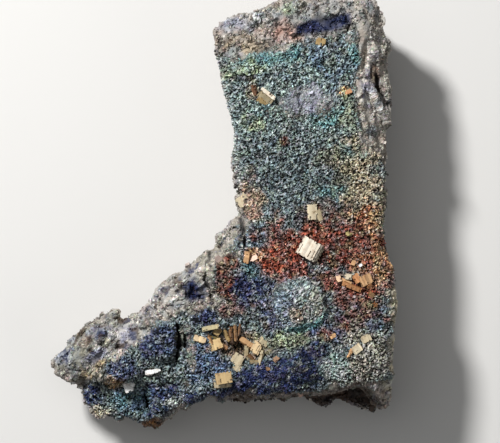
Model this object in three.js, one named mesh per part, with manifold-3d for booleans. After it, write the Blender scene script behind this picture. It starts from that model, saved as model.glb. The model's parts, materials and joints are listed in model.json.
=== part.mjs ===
// A hand specimen of bassetite: a boot-shaped slab of rock that lies on its rough back. Its upward face
// carries a druse of small crystals, and flat golden bassetite plates stand on the druse.
// Millimetres. +Z is up out of the crystal face, +Y runs up the boot's leg, and the toe points along -X.
// The origin is under the middle of the specimen, on the surface that it rests on.

import * as THREE from "three";
import { mergeVertices } from "three/addons/utils/BufferGeometryUtils.js";
import Module from "manifold-3d";

const wasm = await Module();
wasm.setup();

// Driving dimensions of the slab.
const faceHeight = 12.4; // crystal face above the resting surface, on the leg
const toeFall = 0.24; // how far the face drops for each millimetre towards the toe
const toeFallStart = -1.5; // x where that drop begins
const soleFall = 0.5; // how far the face drops for each millimetre towards the sole
const soleFallStart = -14.2; // y where that drop begins
const wallLevels = [1, 0.78, 0.5, 0.24, 0]; // the wall's rings, from the rim's height down to the back
const backEdgeHeight = 1.3; // where the wall turns under on to the back
const backRelief = 1.1; // depth of the hollows in the back
const wallHollow = 1.5; // deepest broad hollow in the wall
const wallRoughness = 0.5;
const wallWaviness = 0.4; // how far the wall's rings rise and fall
const rimRoughness = 0.12; // in plan
const rimUnevenness = 0.5; // in height
const slopeRoughness = 1.2; // of the slope between the rim and the face
const faceSwell = 0.35; // broad unevenness of the face
const faceRipple = 0.16; // fine unevenness of the face
const frontSpacing = 1.02; // distance between the points of the front
const backSpacing = 2.3;
const rimSpacing = 1.0;
const featureSpacing = 0.95;
const featureRoom = 0.24; // least distance between points on steps and cracks
const latticeJitter = 0.42; // as parts of the spacing
const latticeRoom = 0.55;
const latticeReach = 30; // rows and columns each way

// Driving dimensions of the crystals.
const druseSpacing = 1.98;
const druseRadius = 0.66;
const grainLean = 28; // degrees, between the most one way and the other
const grainProud = 0.15; // how far a grain's middle stands out of the face, as part of its size
const druseClearance = 0.5; // bare rim left round each plate
const seatGap = 0.3; // free height between a plate's lowest corner and the rock
const cornerCut = 0.16; // as part of a plate's shorter side

// The rim, seen from above and going round clockwise from the top of the leg. Each side has its own height
// of rim, width of the slope from the rim up to the face, and tuck, which is how far the back lies inside.
const sides = [
  {
    name: "top of the leg", height: 11.2, slope: 1.0, tuck: 1.5,
    points: [[-0.4, 19.5], [1.1, 19.9], [2.1, 20.3], [3.4, 20.6], [4.8, 20.9], [6.0, 21.6], [7.6, 22.0],
      [10.6, 21.9], [12.3, 21.7], [13.1, 21.4], [14.0, 21.5], [14.7, 21.9]],
  },
  {
    name: "broken shoulder", height: 10.3, slope: 2.9, tuck: 1.0,
    points: [[15.5, 21.7], [15.9, 20.6], [16.3, 19.7], [16.6, 17.6], [16.6, 14.4], [16.9, 12.8], [16.8, 11.7],
      [17.0, 10.4], [16.9, 9.1], [16.5, 8.2], [16.4, 6.0]],
  },
  {
    name: "side of the heel", height: 11.1, slope: 0.9, tuck: 1.3,
    points: [[16.4, 2.4], [16.2, 0.0], [16.3, -2.2], [16.6, -3.8], [17.1, -5.0], [17.4, -7.4], [17.5, -9.5],
      [17.3, -12.0], [17.2, -14.6], [17.1, -16.9]],
  },
  {
    name: "heel corner", height: 5.6, slope: 0.9, tuck: 1.2,
    points: [[17.3, -18.2], [16.6, -19.3], [15.9, -19.5], [15.4, -20.1], [14.6, -19.9], [12.9, -19.2]],
  },
  {
    name: "hollow under the sole", height: 3.0, slope: 0.8, tuck: 0.8,
    points: [[11.6, -18.6], [11.0, -19.4], [10.4, -19.8], [9.4, -19.1], [8.4, -18.5], [6.8, -18.8],
      [4.2, -19.0], [2.3, -18.7]],
  },
  {
    name: "sole", height: 8.6, slope: 0.8, tuck: 1.6,
    points: [[1.0, -18.6], [0.0, -18.8], [-0.9, -18.4], [-2.7, -18.8], [-4.3, -19.7], [-5.2, -20.1]],
  },
  {
    name: "spur", height: 4.4, slope: 1.2, tuck: 1.0,
    points: [[-5.9, -20.8], [-6.7, -21.7], [-7.3, -21.3], [-7.9, -21.5], [-8.6, -20.9]],
  },
  {
    name: "underside of the toe", height: 6.0, slope: 0.9, tuck: 1.4,
    points: [[-9.7, -20.4], [-10.5, -20.7], [-11.5, -20.4], [-12.6, -20.7], [-13.4, -20.1], [-14.1, -18.8],
      [-14.5, -17.4], [-14.3, -16.8]],
  },
  {
    name: "toe", height: 6.2, slope: 2.0, tuck: 1.0,
    points: [[-15.4, -16.7], [-16.6, -16.1], [-17.4, -14.9], [-16.4, -13.6], [-15.6, -12.4], [-14.4, -11.2],
      [-13.0, -10.2], [-11.7, -9.7], [-10.8, -9.6], [-10.1, -10.3]],
  },
  {
    name: "instep", height: 8.2, slope: 2.0, tuck: 1.3,
    points: [[-8.3, -9.7], [-7.0, -8.4], [-6.3, -7.2], [-5.4, -6.2], [-3.6, -5.4], [-2.6, -4.5], [-1.7, -3.7],
      [-0.7, -3.3], [-0.4, -1.8], [0.3, -1.4], [1.7, 0.1]],
  },
  {
    name: "front of the leg", height: 11.3, slope: 0.9, tuck: 1.6,
    points: [[1.5, 2.2], [1.2, 3.4], [1.0, 5.8], [1.1, 8.0], [0.8, 10.0], [0.1, 12.4], [-0.4, 15.6],
      [-0.9, 18.4]],
  },
];

// Ellipses on the face, raised or sunk by lift at their middle.
const swellings = [
  { name: "bare knob", x: 9.3, y: 11.5, rx: 3.7, ry: 1.9, turn: 10, lift: 0.9 },
  { name: "blue disc", x: 7.5, y: -8.4, rx: 2.9, ry: 2.6, turn: 0, lift: 0.9 },
  { name: "rusty knob", x: 0.5, y: -4.9, rx: 1.1, ry: 0.9, turn: 0, lift: 0.8 },
  { name: "plate hollow", x: 1.4, y: -12.7, rx: 3.8, ry: 2.3, turn: -18, lift: -1.3 },
  { name: "dark vug", x: -2.5, y: -7.9, rx: 1.6, ry: 1.5, turn: 30, lift: -1.5 },
  { name: "blue stripe", x: 10.1, y: 19.1, rx: 2.9, ry: 0.8, turn: 9, lift: -0.7 },
  { name: "indigo roll", x: 6.2, y: -16.0, rx: 5.6, ry: 1.5, turn: 12, lift: 0.5 },
  { name: "pale ridge", x: 12.6, y: -15.0, rx: 1.6, ry: 2.2, turn: -25, lift: 0.5 },
  { name: "toe hump", x: -12.6, y: -12.2, rx: 2.8, ry: 1.7, turn: 35, lift: 1.0 },
  { name: "instep hump", x: -4.4, y: -7.4, rx: 2.4, ry: 1.3, turn: 38, lift: 0.7 },
];

// Flat-topped steps in the face, raised or sunk by lift inside their outline.
const steps = [
  {
    name: "upper druse block", lift: 0.9, edge: 0.35,
    points: [[-7.2, -11.9], [-6.4, -10.7], [-4.8, -10.4], [-4.8, -14.2], [-7.2, -14.0], [-8.2, -13.2]],
  },
  {
    name: "lower druse block", lift: 0.7, edge: 0.35,
    points: [[-11.9, -15.2], [-10.4, -13.9], [-8.6, -13.6], [-8.4, -15.5], [-9.2, -16.2], [-11.6, -16.1]],
  },
  {
    name: "terrace under the toe", lift: -1.1, edge: 0.4,
    points: [[-16.0, -16.7], [-12.2, -16.6], [-8.2, -16.7], [-7.6, -17.0], [-7.5, -19.6], [-8.7, -23.0],
      [-16.0, -23.0]],
  },
  {
    name: "hollow under the sole", lift: -6.6, edge: 0.5,
    points: [[1.4, -18.3], [4.0, -18.2], [5.8, -18.0], [7.8, -17.8], [9.8, -17.9], [11.3, -17.7],
      [12.8, -17.2], [13.6, -16.9], [14.2, -17.0], [14.8, -17.5], [15.4, -18.2], [15.6, -19.2],
      [15.0, -22.0], [2.0, -22.0]],
  },
];

// Cracks and grooves, cut into the face along a line.
const cracks = [
  { name: "ankle crack", width: 0.3, depth: 1.3, points: [[1.7, -0.1], [2.1, -1.2], [2.3, -2.4], [2.2, -3.5]] },
  {
    name: "instep crack", width: 0.3, depth: 1.1,
    points: [[-1.3, -3.8], [-1.3, -4.6], [-1.6, -5.6], [-1.7, -6.6], [-1.2, -7.4], [-1.1, -8.4]],
  },
  { name: "block groove", width: 0.5, depth: 1.5, points: [[-4.4, -10.8], [-4.3, -12.9], [-4.4, -14.7]] },
  { name: "second groove", width: 0.3, depth: 0.9, points: [[-3.7, -11.4], [-3.8, -13.4]] },
  { name: "toe groove", width: 0.45, depth: 1.2, points: [[-7.6, -16.9], [-7.4, -19.6]] },
  { name: "toe crack", width: 0.25, depth: 0.7, points: [[-7.1, -17.1], [-5.0, -16.7], [-4.1, -17.7]] },
  {
    name: "shoulder groove", width: 0.6, depth: 0.8,
    points: [[14.5, 17.0], [14.4, 13.6], [15.0, 11.2], [15.8, 9.4]],
  },
  {
    name: "stripe crack", width: 0.25, depth: 0.6,
    points: [[10.4, 17.1], [11.3, 17.5], [12.6, 17.8], [12.7, 18.6]],
  },
];

// The part of the face that the druse covers, and the bare ellipses inside it.
const druseField = [[0.3, 15.2], [2.5, 16.2], [7.5, 17.0], [12.8, 17.4], [13.7, 16.8], [13.4, 13.8],
  [13.5, 9.0], [15.6, 5.4], [15.8, -3.0], [16.5, -6.0], [16.3, -16.4], [14.5, -16.3], [13.4, -16.0],
  [11.3, -16.9], [7.8, -17.1], [4.0, -17.5], [0.9, -17.9], [-2.6, -18.1], [-5.2, -19.2], [-6.8, -19.4],
  [-9.0, -19.8], [-12.6, -19.8], [-13.5, -17.2], [-12.0, -15.6], [-10.4, -13.9], [-8.4, -12.5],
  [-6.6, -10.7], [-4.8, -10.3], [-2.4, -10.2], [-0.4, -8.8], [-0.4, -5.0], [0.8, -4.0], [2.5, -3.6],
  [2.6, -0.2], [2.2, 2.0], [2.0, 8.0], [1.2, 12.0]];
const bareEllipses = [
  { x: 9.3, y: 11.5, rx: 3.6, ry: 1.8, turn: 10 },
  { x: -4.3, y: -12.9, rx: 0.9, ry: 2.6, turn: 0 },
  { x: -5.9, y: -15.6, rx: 1.7, ry: 1.0, turn: 0 },
];

// The bassetite, one entry for each crystal or group that stands apart. A leaf is one plate: its middle,
// its width, length and thickness, how it is turned in plan, how far it leans, and the bearing it leans to.
const creamColour = 0xe9dfb9;
const goldColour = 0xcfae5c;
const amberColour = 0xc98a3c;
const tanColour = 0xb9925e;
const crystals = [
  {
    name: "square_book", colour: creamColour,
    leaves: [
      { x: 9.0, y: -3.1, w: 1.95, l: 1.75, t: 0.34, turn: 58, lean: 16, bearing: 140, rise: 0.46 },
      { x: 9.18, y: -3.22, w: 2.0, l: 1.6, t: 0.3, turn: 58, lean: 16, bearing: 140, rise: 0.22 },
      { x: 9.34, y: -3.36, w: 1.9, l: 1.45, t: 0.3, turn: 58, lean: 16, bearing: 140, rise: 0 },
    ],
  },
  {
    name: "twin_plate", colour: creamColour,
    leaves: [
      { x: 9.15, y: 0.65, w: 0.8, l: 1.0, t: 0.32, turn: 12, lean: 12, bearing: 100, rise: 0.1 },
      { x: 9.65, y: 0.05, w: 0.85, l: 0.8, t: 0.3, turn: 32, lean: 10, bearing: 60, rise: 0 },
    ],
  },
  {
    name: "ankle_plate", colour: creamColour,
    leaves: [
      { x: 2.15, y: 1.5, w: 1.0, l: 0.95, t: 0.35, turn: 35, lean: 14, bearing: 170, rise: 0.15 },
      { x: 2.45, y: 2.0, w: 0.5, l: 0.75, t: 0.25, turn: 10, lean: 20, bearing: 90, rise: 0.1 },
    ],
  },
  {
    name: "upper_book", colour: goldColour,
    leaves: [
      { x: 4.55, y: 12.05, w: 1.5, l: 0.75, t: 0.34, turn: -60, lean: 42, bearing: 200, rise: 0.45 },
      { x: 4.2, y: 11.75, w: 1.15, l: 0.7, t: 0.3, turn: -55, lean: 40, bearing: 200, rise: 0.1 },
    ],
  },
  {
    name: "upper_leaf", colour: tanColour,
    leaves: [{ x: 3.1, y: 12.55, w: 1.1, l: 0.6, t: 0.26, turn: -62, lean: 35, bearing: 190, rise: 0 }],
  },
  {
    name: "top_plate", colour: goldColour,
    leaves: [{ x: 9.9, y: 17.45, w: 0.9, l: 0.6, t: 0.35, turn: -12, lean: 15, bearing: 250, rise: 0 }],
  },
  {
    name: "amber_grain", colour: amberColour,
    leaves: [{ x: 12.6, y: 12.35, w: 0.8, l: 0.55, t: 0.4, turn: 20, lean: 20, bearing: 90, rise: 0 }],
  },
  {
    name: "amber_rosette", colour: amberColour,
    leaves: [
      { x: 12.2, y: -6.35, w: 1.5, l: 0.8, t: 0.3, turn: -22, lean: 30, bearing: 260, rise: 0.3 },
      { x: 13.0, y: -5.75, w: 1.0, l: 0.9, t: 0.3, turn: 35, lean: 22, bearing: 80, rise: 0.2 },
      { x: 13.2, y: -6.55, w: 1.5, l: 0.6, t: 0.28, turn: -28, lean: 45, bearing: 240, rise: 0.1 },
      { x: 14.1, y: -6.1, w: 1.1, l: 1.0, t: 0.32, turn: 18, lean: 16, bearing: 20, rise: 0.25 },
      { x: 11.5, y: -6.0, w: 0.7, l: 0.7, t: 0.26, turn: 50, lean: 25, bearing: 150, rise: 0.1 },
    ],
  },
  {
    name: "heel_plate_high", colour: creamColour,
    leaves: [{ x: 14.35, y: -12.15, w: 0.85, l: 0.75, t: 0.32, turn: 25, lean: 12, bearing: 120, rise: 0 }],
  },
  {
    name: "heel_plate_low", colour: goldColour,
    leaves: [
      { x: 13.5, y: -13.2, w: 0.95, l: 0.75, t: 0.32, turn: 38, lean: 14, bearing: 150, rise: 0.2 },
      { x: 13.0, y: -13.9, w: 1.1, l: 0.4, t: 0.25, turn: 55, lean: 50, bearing: 150, rise: 0 },
    ],
  },
  {
    name: "hollow_edge_plate", colour: creamColour,
    leaves: [{ x: 4.15, y: -12.4, w: 0.9, l: 0.6, t: 0.35, turn: -38, lean: 16, bearing: 40, rise: 0 }],
  },
  {
    name: "indigo_plate_high", colour: tanColour,
    leaves: [{ x: 5.45, y: -14.15, w: 0.6, l: 0.55, t: 0.3, turn: 40, lean: 15, bearing: 90, rise: 0 }],
  },
  {
    name: "indigo_plate_low", colour: tanColour,
    leaves: [{ x: 4.7, y: -15.2, w: 0.55, l: 0.4, t: 0.28, turn: 10, lean: 15, bearing: 40, rise: 0 }],
  },
  {
    name: "sole_plate_high", colour: creamColour,
    leaves: [
      { x: 1.4, y: -14.45, w: 1.15, l: 0.95, t: 0.35, turn: -32, lean: 14, bearing: 130, rise: 0.05 },
      { x: 1.4, y: -14.95, w: 0.8, l: 0.7, t: 0.3, turn: -20, lean: 14, bearing: 130, rise: 0 },
    ],
  },
  {
    name: "sole_plate_low", colour: goldColour,
    leaves: [
      { x: 0.0, y: -16.3, w: 1.45, l: 1.15, t: 0.36, turn: 12, lean: 14, bearing: 80, rise: 0.16 },
      { x: 0.0, y: -16.6, w: 1.5, l: 0.9, t: 0.26, turn: 10, lean: 16, bearing: 80, rise: 0 },
    ],
  },
  {
    name: "golden_sheaf_left", colour: goldColour,
    leaves: [
      { x: -0.95, y: -11.85, w: 0.9, l: 0.6, t: 0.28, turn: 15, lean: 20, bearing: 100, rise: 0.3 },
      { x: -0.15, y: -11.95, w: 0.8, l: 0.75, t: 0.28, turn: 40, lean: 24, bearing: 60, rise: 0.3 },
      { x: -1.2, y: -12.35, w: 1.1, l: 0.42, t: 0.22, turn: -60, lean: 55, bearing: 200, rise: 0.15 },
      { x: -0.75, y: -12.25, w: 1.0, l: 0.5, t: 0.25, turn: -15, lean: 40, bearing: 270, rise: 0.0 },
    ],
  },
  {
    name: "amber_fan", colour: amberColour,
    leaves: [
      { x: -0.45, y: -13.35, w: 1.15, l: 0.95, t: 0.3, turn: 20, lean: 18, bearing: 80, rise: 0.3 },
      { x: 0.2, y: -13.05, w: 0.9, l: 0.6, t: 0.26, turn: -35, lean: 36, bearing: 60, rise: 0.1 },
    ],
  },
  {
    name: "toe_side_leaf", colour: goldColour,
    leaves: [{ x: -2.2, y: -12.3, w: 1.0, l: 0.6, t: 0.3, turn: 20, lean: 25, bearing: 110, rise: 0 }],
  },
  {
    name: "upright_sheaf", colour: tanColour,
    leaves: [
      { x: 0.85, y: -12.0, w: 1.4, l: 0.8, t: 0.26, turn: -62, lean: 66, bearing: 200, rise: 0.2 },
      { x: 1.35, y: -12.2, w: 1.5, l: 0.8, t: 0.26, turn: 82, lean: 70, bearing: 190, rise: 0.2 },
      { x: 1.85, y: -11.7, w: 1.4, l: 0.7, t: 0.26, turn: 76, lean: 72, bearing: 180, rise: 0.1 },
      { x: 1.3, y: -12.3, w: 1.4, l: 0.5, t: 0.26, turn: 10, lean: 60, bearing: 270, rise: 0.0 },
    ],
  },
  {
    name: "golden_sheaf_right", colour: goldColour,
    leaves: [
      { x: 2.75, y: -12.6, w: 1.2, l: 0.7, t: 0.28, turn: -38, lean: 42, bearing: 60, rise: 0.3 },
      { x: 3.0, y: -13.7, w: 1.4, l: 0.8, t: 0.26, turn: 84, lean: 64, bearing: 190, rise: 0.1 },
      { x: 2.9, y: -13.2, w: 1.2, l: 0.5, t: 0.25, turn: 30, lean: 40, bearing: 240, rise: 0.0 },
    ],
  },
  {
    name: "pale_sheaf", colour: creamColour,
    leaves: [
      { x: 3.75, y: -13.65, w: 1.5, l: 0.9, t: 0.28, turn: 72, lean: 58, bearing: 180, rise: 0.3 },
      { x: 4.1, y: -14.2, w: 1.3, l: 0.7, t: 0.26, turn: 60, lean: 60, bearing: 170, rise: 0.1 },
      { x: 3.85, y: -14.1, w: 0.9, l: 0.7, t: 0.28, turn: 20, lean: 30, bearing: 240, rise: 0.0 },
    ],
  },
  {
    name: "ankle_amber_leaf", colour: amberColour,
    leaves: [
      { x: 2.85, y: -3.95, w: 0.9, l: 0.45, t: 0.26, turn: 75, lean: 40, bearing: 180, rise: 0.1 },
      { x: 3.2, y: -4.25, w: 0.8, l: 0.6, t: 0.26, turn: 30, lean: 24, bearing: 120, rise: 0 },
    ],
  },
];

// Patches of the back that are worn flat, on which the specimen lies.
const restPatches = [
  { name: "top of the leg", x: 7.6, y: 15.8, rx: 5.6, ry: 4.2, turn: 0 },
  { name: "heel", x: 11.4, y: -12.8, rx: 4.6, ry: 4.4, turn: 0 },
  { name: "toe", x: -9.2, y: -15.2, rx: 4.6, ry: 3.4, turn: 0 },
];

const degrees = THREE.MathUtils.degToRad;
const smoothstep = THREE.MathUtils.smoothstep;
const lerp = THREE.MathUtils.lerp;

// Repeatable chance: the same number for the same three whole numbers, from 0 to 1.
function chance(i, j, k) {
  let h = Math.imul(i, 374761393) ^ Math.imul(j, 668265263) ^ Math.imul(k, 1274126177);
  h = Math.imul(h ^ (h >>> 13), 1103515245);
  h = Math.imul(h ^ (h >>> 15), 668265263);
  return ((h ^ (h >>> 16)) >>> 0) / 4294967296;
}

// Smooth noise from -1 to 1 in three dimensions.
function noise(x, y, z) {
  const cell = [Math.floor(x), Math.floor(y), Math.floor(z)];
  const part = [x - cell[0], y - cell[1], z - cell[2]].map((t) => t * t * (3 - 2 * t));
  let sum = 0;
  for (let corner = 0; corner < 8; corner++) {
    const step = [corner & 1, (corner >> 1) & 1, (corner >> 2) & 1];
    const weight = step.reduce((w, s, axis) => w * (s ? part[axis] : 1 - part[axis]), 1);
    sum += weight * chance(cell[0] + step[0], cell[1] + step[1], cell[2] + step[2]);
  }
  return 2 * sum - 1;
}

function alongSegment(x, y, a, b) {
  const dx = b[0] - a[0];
  const dy = b[1] - a[1];
  const t = THREE.MathUtils.clamp(((x - a[0]) * dx + (y - a[1]) * dy) / (dx * dx + dy * dy), 0, 1);
  return { t, distance: Math.hypot(x - a[0] - t * dx, y - a[1] - t * dy) };
}

function isInside(x, y, polygon) {
  let inside = false;
  polygon.forEach((a, i) => {
    const b = polygon[(i + 1) % polygon.length];
    if (a[1] > y !== b[1] > y && x < a[0] + ((y - a[1]) * (b[0] - a[0])) / (b[1] - a[1])) inside = !inside;
  });
  return inside;
}

// Distance to a closed outline, positive inside it.
function depthInside(x, y, polygon) {
  const distances = polygon.map((a, i) => alongSegment(x, y, a, polygon[(i + 1) % polygon.length]).distance);
  return Math.min(...distances) * (isInside(x, y, polygon) ? 1 : -1);
}

function distanceToLine(x, y, points) {
  return Math.min(...points.slice(1).map((b, i) => alongSegment(x, y, points[i], b).distance));
}

// How far out a point lies in an ellipse: 0 at its middle, 1 on its edge.
function reachIn(x, y, ellipse) {
  const turn = degrees(ellipse.turn);
  const dx = x - ellipse.x;
  const dy = y - ellipse.y;
  const across = dx * Math.cos(turn) + dy * Math.sin(turn);
  const along = dy * Math.cos(turn) - dx * Math.sin(turn);
  return Math.hypot(across / ellipse.rx, along / ellipse.ry);
}

// The sides joined into one ring of evenly spaced stations, counter-clockwise, with the steps in height
// between two sides evened out and the edge made a little ragged.
function makeRim() {
  const corners = sides.flatMap((side) => side.points.map(([x, y]) => ({ x, y, ...side }))).reverse();
  const stations = [];
  corners.forEach((a, i) => {
    const b = corners[(i + 1) % corners.length];
    const length = Math.hypot(b.x - a.x, b.y - a.y);
    const count = Math.max(1, Math.round(length / rimSpacing));
    for (let s = 0; s < count; s++) {
      const t = s / count;
      const ragged = s === 0 ? 0 : rimRoughness * noise(a.x + 3.1 * t, a.y, 40 + 2.7 * s);
      stations.push({
        x: lerp(a.x, b.x, t) + (ragged * (b.y - a.y)) / length,
        y: lerp(a.y, b.y, t) - (ragged * (b.x - a.x)) / length,
        height: lerp(a.height, b.height, t),
        slope: lerp(a.slope, b.slope, t),
        tuck: lerp(a.tuck, b.tuck, t),
      });
    }
  });
  const evened = (i, key) => {
    let sum = 0;
    for (let k = -2; k <= 2; k++) sum += stations[(i + k + stations.length) % stations.length][key];
    return sum / 5;
  };
  return stations.map((station, i) => ({
    ...station,
    height: evened(i, "height") + rimUnevenness * noise(station.x * 0.6, station.y * 0.6, 11),
    slope: evened(i, "slope"),
    tuck: evened(i, "tuck"),
  }));
}

const rim = makeRim();
const rimOutline = rim.map((station) => [station.x, station.y]);

function nearestRim(x, y) {
  let best = { distance: Infinity };
  rim.forEach((a, i) => {
    const b = rim[(i + 1) % rim.length];
    const { t, distance } = alongSegment(x, y, [a.x, a.y], [b.x, b.y]);
    if (distance < best.distance) {
      best = { distance, height: lerp(a.height, b.height, t), slope: lerp(a.slope, b.slope, t) };
    }
  });
  return best;
}

// Height of the face, before its rim is sloped off.
function faceZ(x, y) {
  let z = faceHeight + faceSwell * noise(x * 0.22, y * 0.22, 3) + faceRipple * noise(x * 0.9, y * 0.9, 5);
  z -= toeFall * Math.max(0, toeFallStart - x);
  z -= soleFall * Math.max(0, soleFallStart - y);
  for (const swelling of swellings) {
    z += swelling.lift * (1 - smoothstep(reachIn(x, y, swelling), 0.35, 1.05));
  }
  for (const step of steps) {
    z += step.lift * smoothstep(depthInside(x, y, step.points), -step.edge / 2, step.edge / 2);
  }
  for (const crack of cracks) {
    z -= crack.depth * Math.max(0, 1 - distanceToLine(x, y, crack.points) / crack.width);
  }
  return z;
}

function frontZ(x, y) {
  const near = nearestRim(x, y);
  const rise = Math.sin((Math.min(1, near.distance / near.slope) * Math.PI) / 2);
  const craggy = slopeRoughness * rise * (1 - rise) * noise(x * 1.3, y * 1.3, 21);
  return lerp(near.height, faceZ(x, y), rise) + craggy;
}

// The back's hollows are clipped at the resting surface, and its worn patches lie on that surface.
function backZ(x, y) {
  const isWorn = restPatches.some((patch) => reachIn(x, y, patch) < 1);
  const hollow = 0.45 + noise(x * 0.19, y * 0.19, 7) + 0.45 * noise(x * 0.55, y * 0.55, 9);
  return isWorn ? 0 : Math.max(0, backRelief * hollow);
}

// Evenly spaced points along a line of points, each with the direction of the line there.
function spacedAlong(points, spacing) {
  return points.slice(1).flatMap((b, i) => {
    const a = points[i];
    const length = Math.hypot(b[0] - a[0], b[1] - a[1]);
    const heading = [(b[0] - a[0]) / length, (b[1] - a[1]) / length];
    const count = Math.max(1, Math.round(length / spacing));
    return Array.from({ length: count }, (_, s) =>
      [lerp(a[0], b[0], s / count), lerp(a[1], b[1], s / count), ...heading]);
  });
}

// Rows of points on both lips of each step, and down the middle and both lips of each crack.
function featurePoints() {
  const rows = [];
  const addRows = (line, offsets) => {
    for (const [x, y, ux, uy] of spacedAlong(line, featureSpacing)) {
      for (const offset of offsets) rows.push([x - uy * offset, y + ux * offset]);
    }
  };
  for (const step of steps) addRows([...step.points, step.points[0]], [-step.edge / 2, step.edge / 2]);
  for (const crack of cracks) addRows(crack.points, [-crack.width, 0, crack.width]);
  return rows;
}

// Points over a region: first the wanted ones, then a jittered lattice where there is room.
function scatter(outline, spacing, wanted, seed) {
  const kept = [];
  const hasRoom = (x, y, room) => kept.every(([px, py]) => Math.hypot(px - x, py - y) > room);
  const tryPoint = (x, y, room, margin) => {
    if (depthInside(x, y, outline) > margin && hasRoom(x, y, room)) kept.push([x, y]);
  };
  for (const [x, y] of wanted) tryPoint(x, y, featureRoom, 0.5 * rimSpacing);
  const rowHeight = (spacing * Math.sqrt(3)) / 2;
  for (let row = -latticeReach; row <= latticeReach; row++) {
    for (let column = -latticeReach; column <= latticeReach; column++) {
      const jitter = (k) => latticeJitter * spacing * (chance(row, column, seed + k) - 0.5);
      const x = (column + (row & 1) / 2) * spacing + jitter(0);
      const y = row * rowHeight + jitter(1);
      tryPoint(x, y, latticeRoom * spacing, latticeRoom * spacing);
    }
  }
  return kept;
}

// Delaunay triangles over points in the plane, by adding one point at a time.
function triangulate(points) {
  const far = 400;
  const all = [...points, [-far, -far], [far, -far], [0, far]];
  const circled = (a, b, c) => {
    const [ax, ay] = all[a];
    const [bx, by] = all[b];
    const [cx, cy] = all[c];
    const d = 2 * (ax * (by - cy) + bx * (cy - ay) + cx * (ay - by));
    const [aa, bb, cc] = [ax * ax + ay * ay, bx * bx + by * by, cx * cx + cy * cy];
    const x = (aa * (by - cy) + bb * (cy - ay) + cc * (ay - by)) / d;
    const y = (aa * (cx - bx) + bb * (ax - cx) + cc * (bx - ax)) / d;
    return { corners: [a, b, c], x, y, reach: (ax - x) ** 2 + (ay - y) ** 2 };
  };
  let triangles = [circled(points.length, points.length + 1, points.length + 2)];
  points.forEach(([x, y], index) => {
    const edges = new Map();
    triangles = triangles.filter((triangle) => {
      if ((x - triangle.x) ** 2 + (y - triangle.y) ** 2 > triangle.reach) return true;
      triangle.corners.forEach((a, i) => {
        const b = triangle.corners[(i + 1) % 3];
        if (!edges.delete(`${b},${a}`)) edges.set(`${a},${b}`, [a, b]);
      });
      return false;
    });
    for (const [a, b] of edges.values()) triangles.push(circled(a, b, index));
  });
  return triangles.map((triangle) => triangle.corners).filter((c) => Math.max(...c) < points.length);
}

// The triangles of a region: its outline's points come first in the list of points.
function fillRegion(outline, inner) {
  const points = [...outline, ...inner];
  const triangles = triangulate(points).filter(([a, b, c]) => {
    const x = (points[a][0] + points[b][0] + points[c][0]) / 3;
    const y = (points[a][1] + points[b][1] + points[c][1]) / 3;
    return isInside(x, y, outline);
  });
  return { points, triangles };
}

// The unit direction out of the rim at a station.
function outwardAt(i) {
  const before = rim[(i - 2 + rim.length) % rim.length];
  const after = rim[(i + 2) % rim.length];
  const length = Math.hypot(after.x - before.x, after.y - before.y);
  return [(after.y - before.y) / length, (before.x - after.x) / length];
}

// Ring k of the wall, from the rim at 0 down to the edge of the back. The wall is broken rock, so it falls
// back from the rim in broad hollows and smaller chips, and never stands out past the rim.
function wallRing(k) {
  const down = 1 - wallLevels[k];
  const belly = Math.sin(Math.PI * down);
  return rim.map(({ x, y, height, tuck }, i) => {
    const [nx, ny] = outwardAt(i);
    const broad = wallHollow * belly * Math.max(0, 0.35 + noise(x * 0.3, y * 0.3, 2.2 * down));
    const craggy = Math.abs(noise(x * 0.9, y * 0.9, 50 + 1.7 * k));
    const chips = wallRoughness * (0.2 + belly) * Math.min(1, 3 * down) * craggy;
    const inward = broad + chips + tuck * down ** 1.6;
    const z = lerp(backEdgeHeight + 0.5 * noise(x * 0.4, y * 0.4, 60), height, wallLevels[k])
      + wallWaviness * belly * noise(x * 0.7, y * 0.7, 70 + k);
    return [x - nx * inward, y - ny * inward, z];
  });
}

function slabGeometry() {
  const front = fillRegion(rimOutline, scatter(rimOutline, frontSpacing, featurePoints(), 100));
  const rings = wallLevels.slice(1).map((_, k) => wallRing(k + 1));
  const backOutline = rings.at(-1).map(([x, y]) => [x, y]);
  const back = fillRegion(backOutline, scatter(backOutline, backSpacing, [], 200));

  const positions = front.points.map(([x, y], i) => [x, y, i < rim.length ? rim[i].height : frontZ(x, y)]);
  const triangles = front.triangles.map((corners) => [...corners]);
  const ringStarts = [0];
  for (const ring of rings) {
    ringStarts.push(positions.length);
    positions.push(...ring);
  }
  for (let k = 0; k < rings.length; k++) {
    for (let i = 0; i < rim.length; i++) {
      const next = (i + 1) % rim.length;
      const [a, b] = [ringStarts[k] + i, ringStarts[k] + next];
      const [c, d] = [ringStarts[k + 1] + i, ringStarts[k + 1] + next];
      triangles.push([a, c, d], [a, d, b]);
    }
  }
  const backInnerStart = positions.length;
  for (const [x, y] of back.points.slice(rim.length)) positions.push([x, y, backZ(x, y)]);
  const backIndex = (i) => (i < rim.length ? ringStarts.at(-1) + i : backInnerStart + i - rim.length);
  for (const [a, b, c] of back.triangles) triangles.push([backIndex(a), backIndex(c), backIndex(b)]);

  const geometry = new THREE.BufferGeometry();
  geometry.setAttribute("position", new THREE.Float32BufferAttribute(positions.flat(), 3));
  geometry.setIndex(triangles.flat());
  return geometry;
}

// A closed three.js geometry as a solid for booleans, and back.
function toSolid(geometry) {
  const bare = geometry.clone();
  for (const name of Object.keys(bare.attributes)) {
    if (name !== "position") bare.deleteAttribute(name);
  }
  const merged = mergeVertices(bare, 1e-4);
  return new wasm.Manifold(new wasm.Mesh({
    numProp: 3,
    vertProperties: merged.attributes.position.array,
    triVerts: new Uint32Array(merged.index.array),
  }));
}

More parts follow.
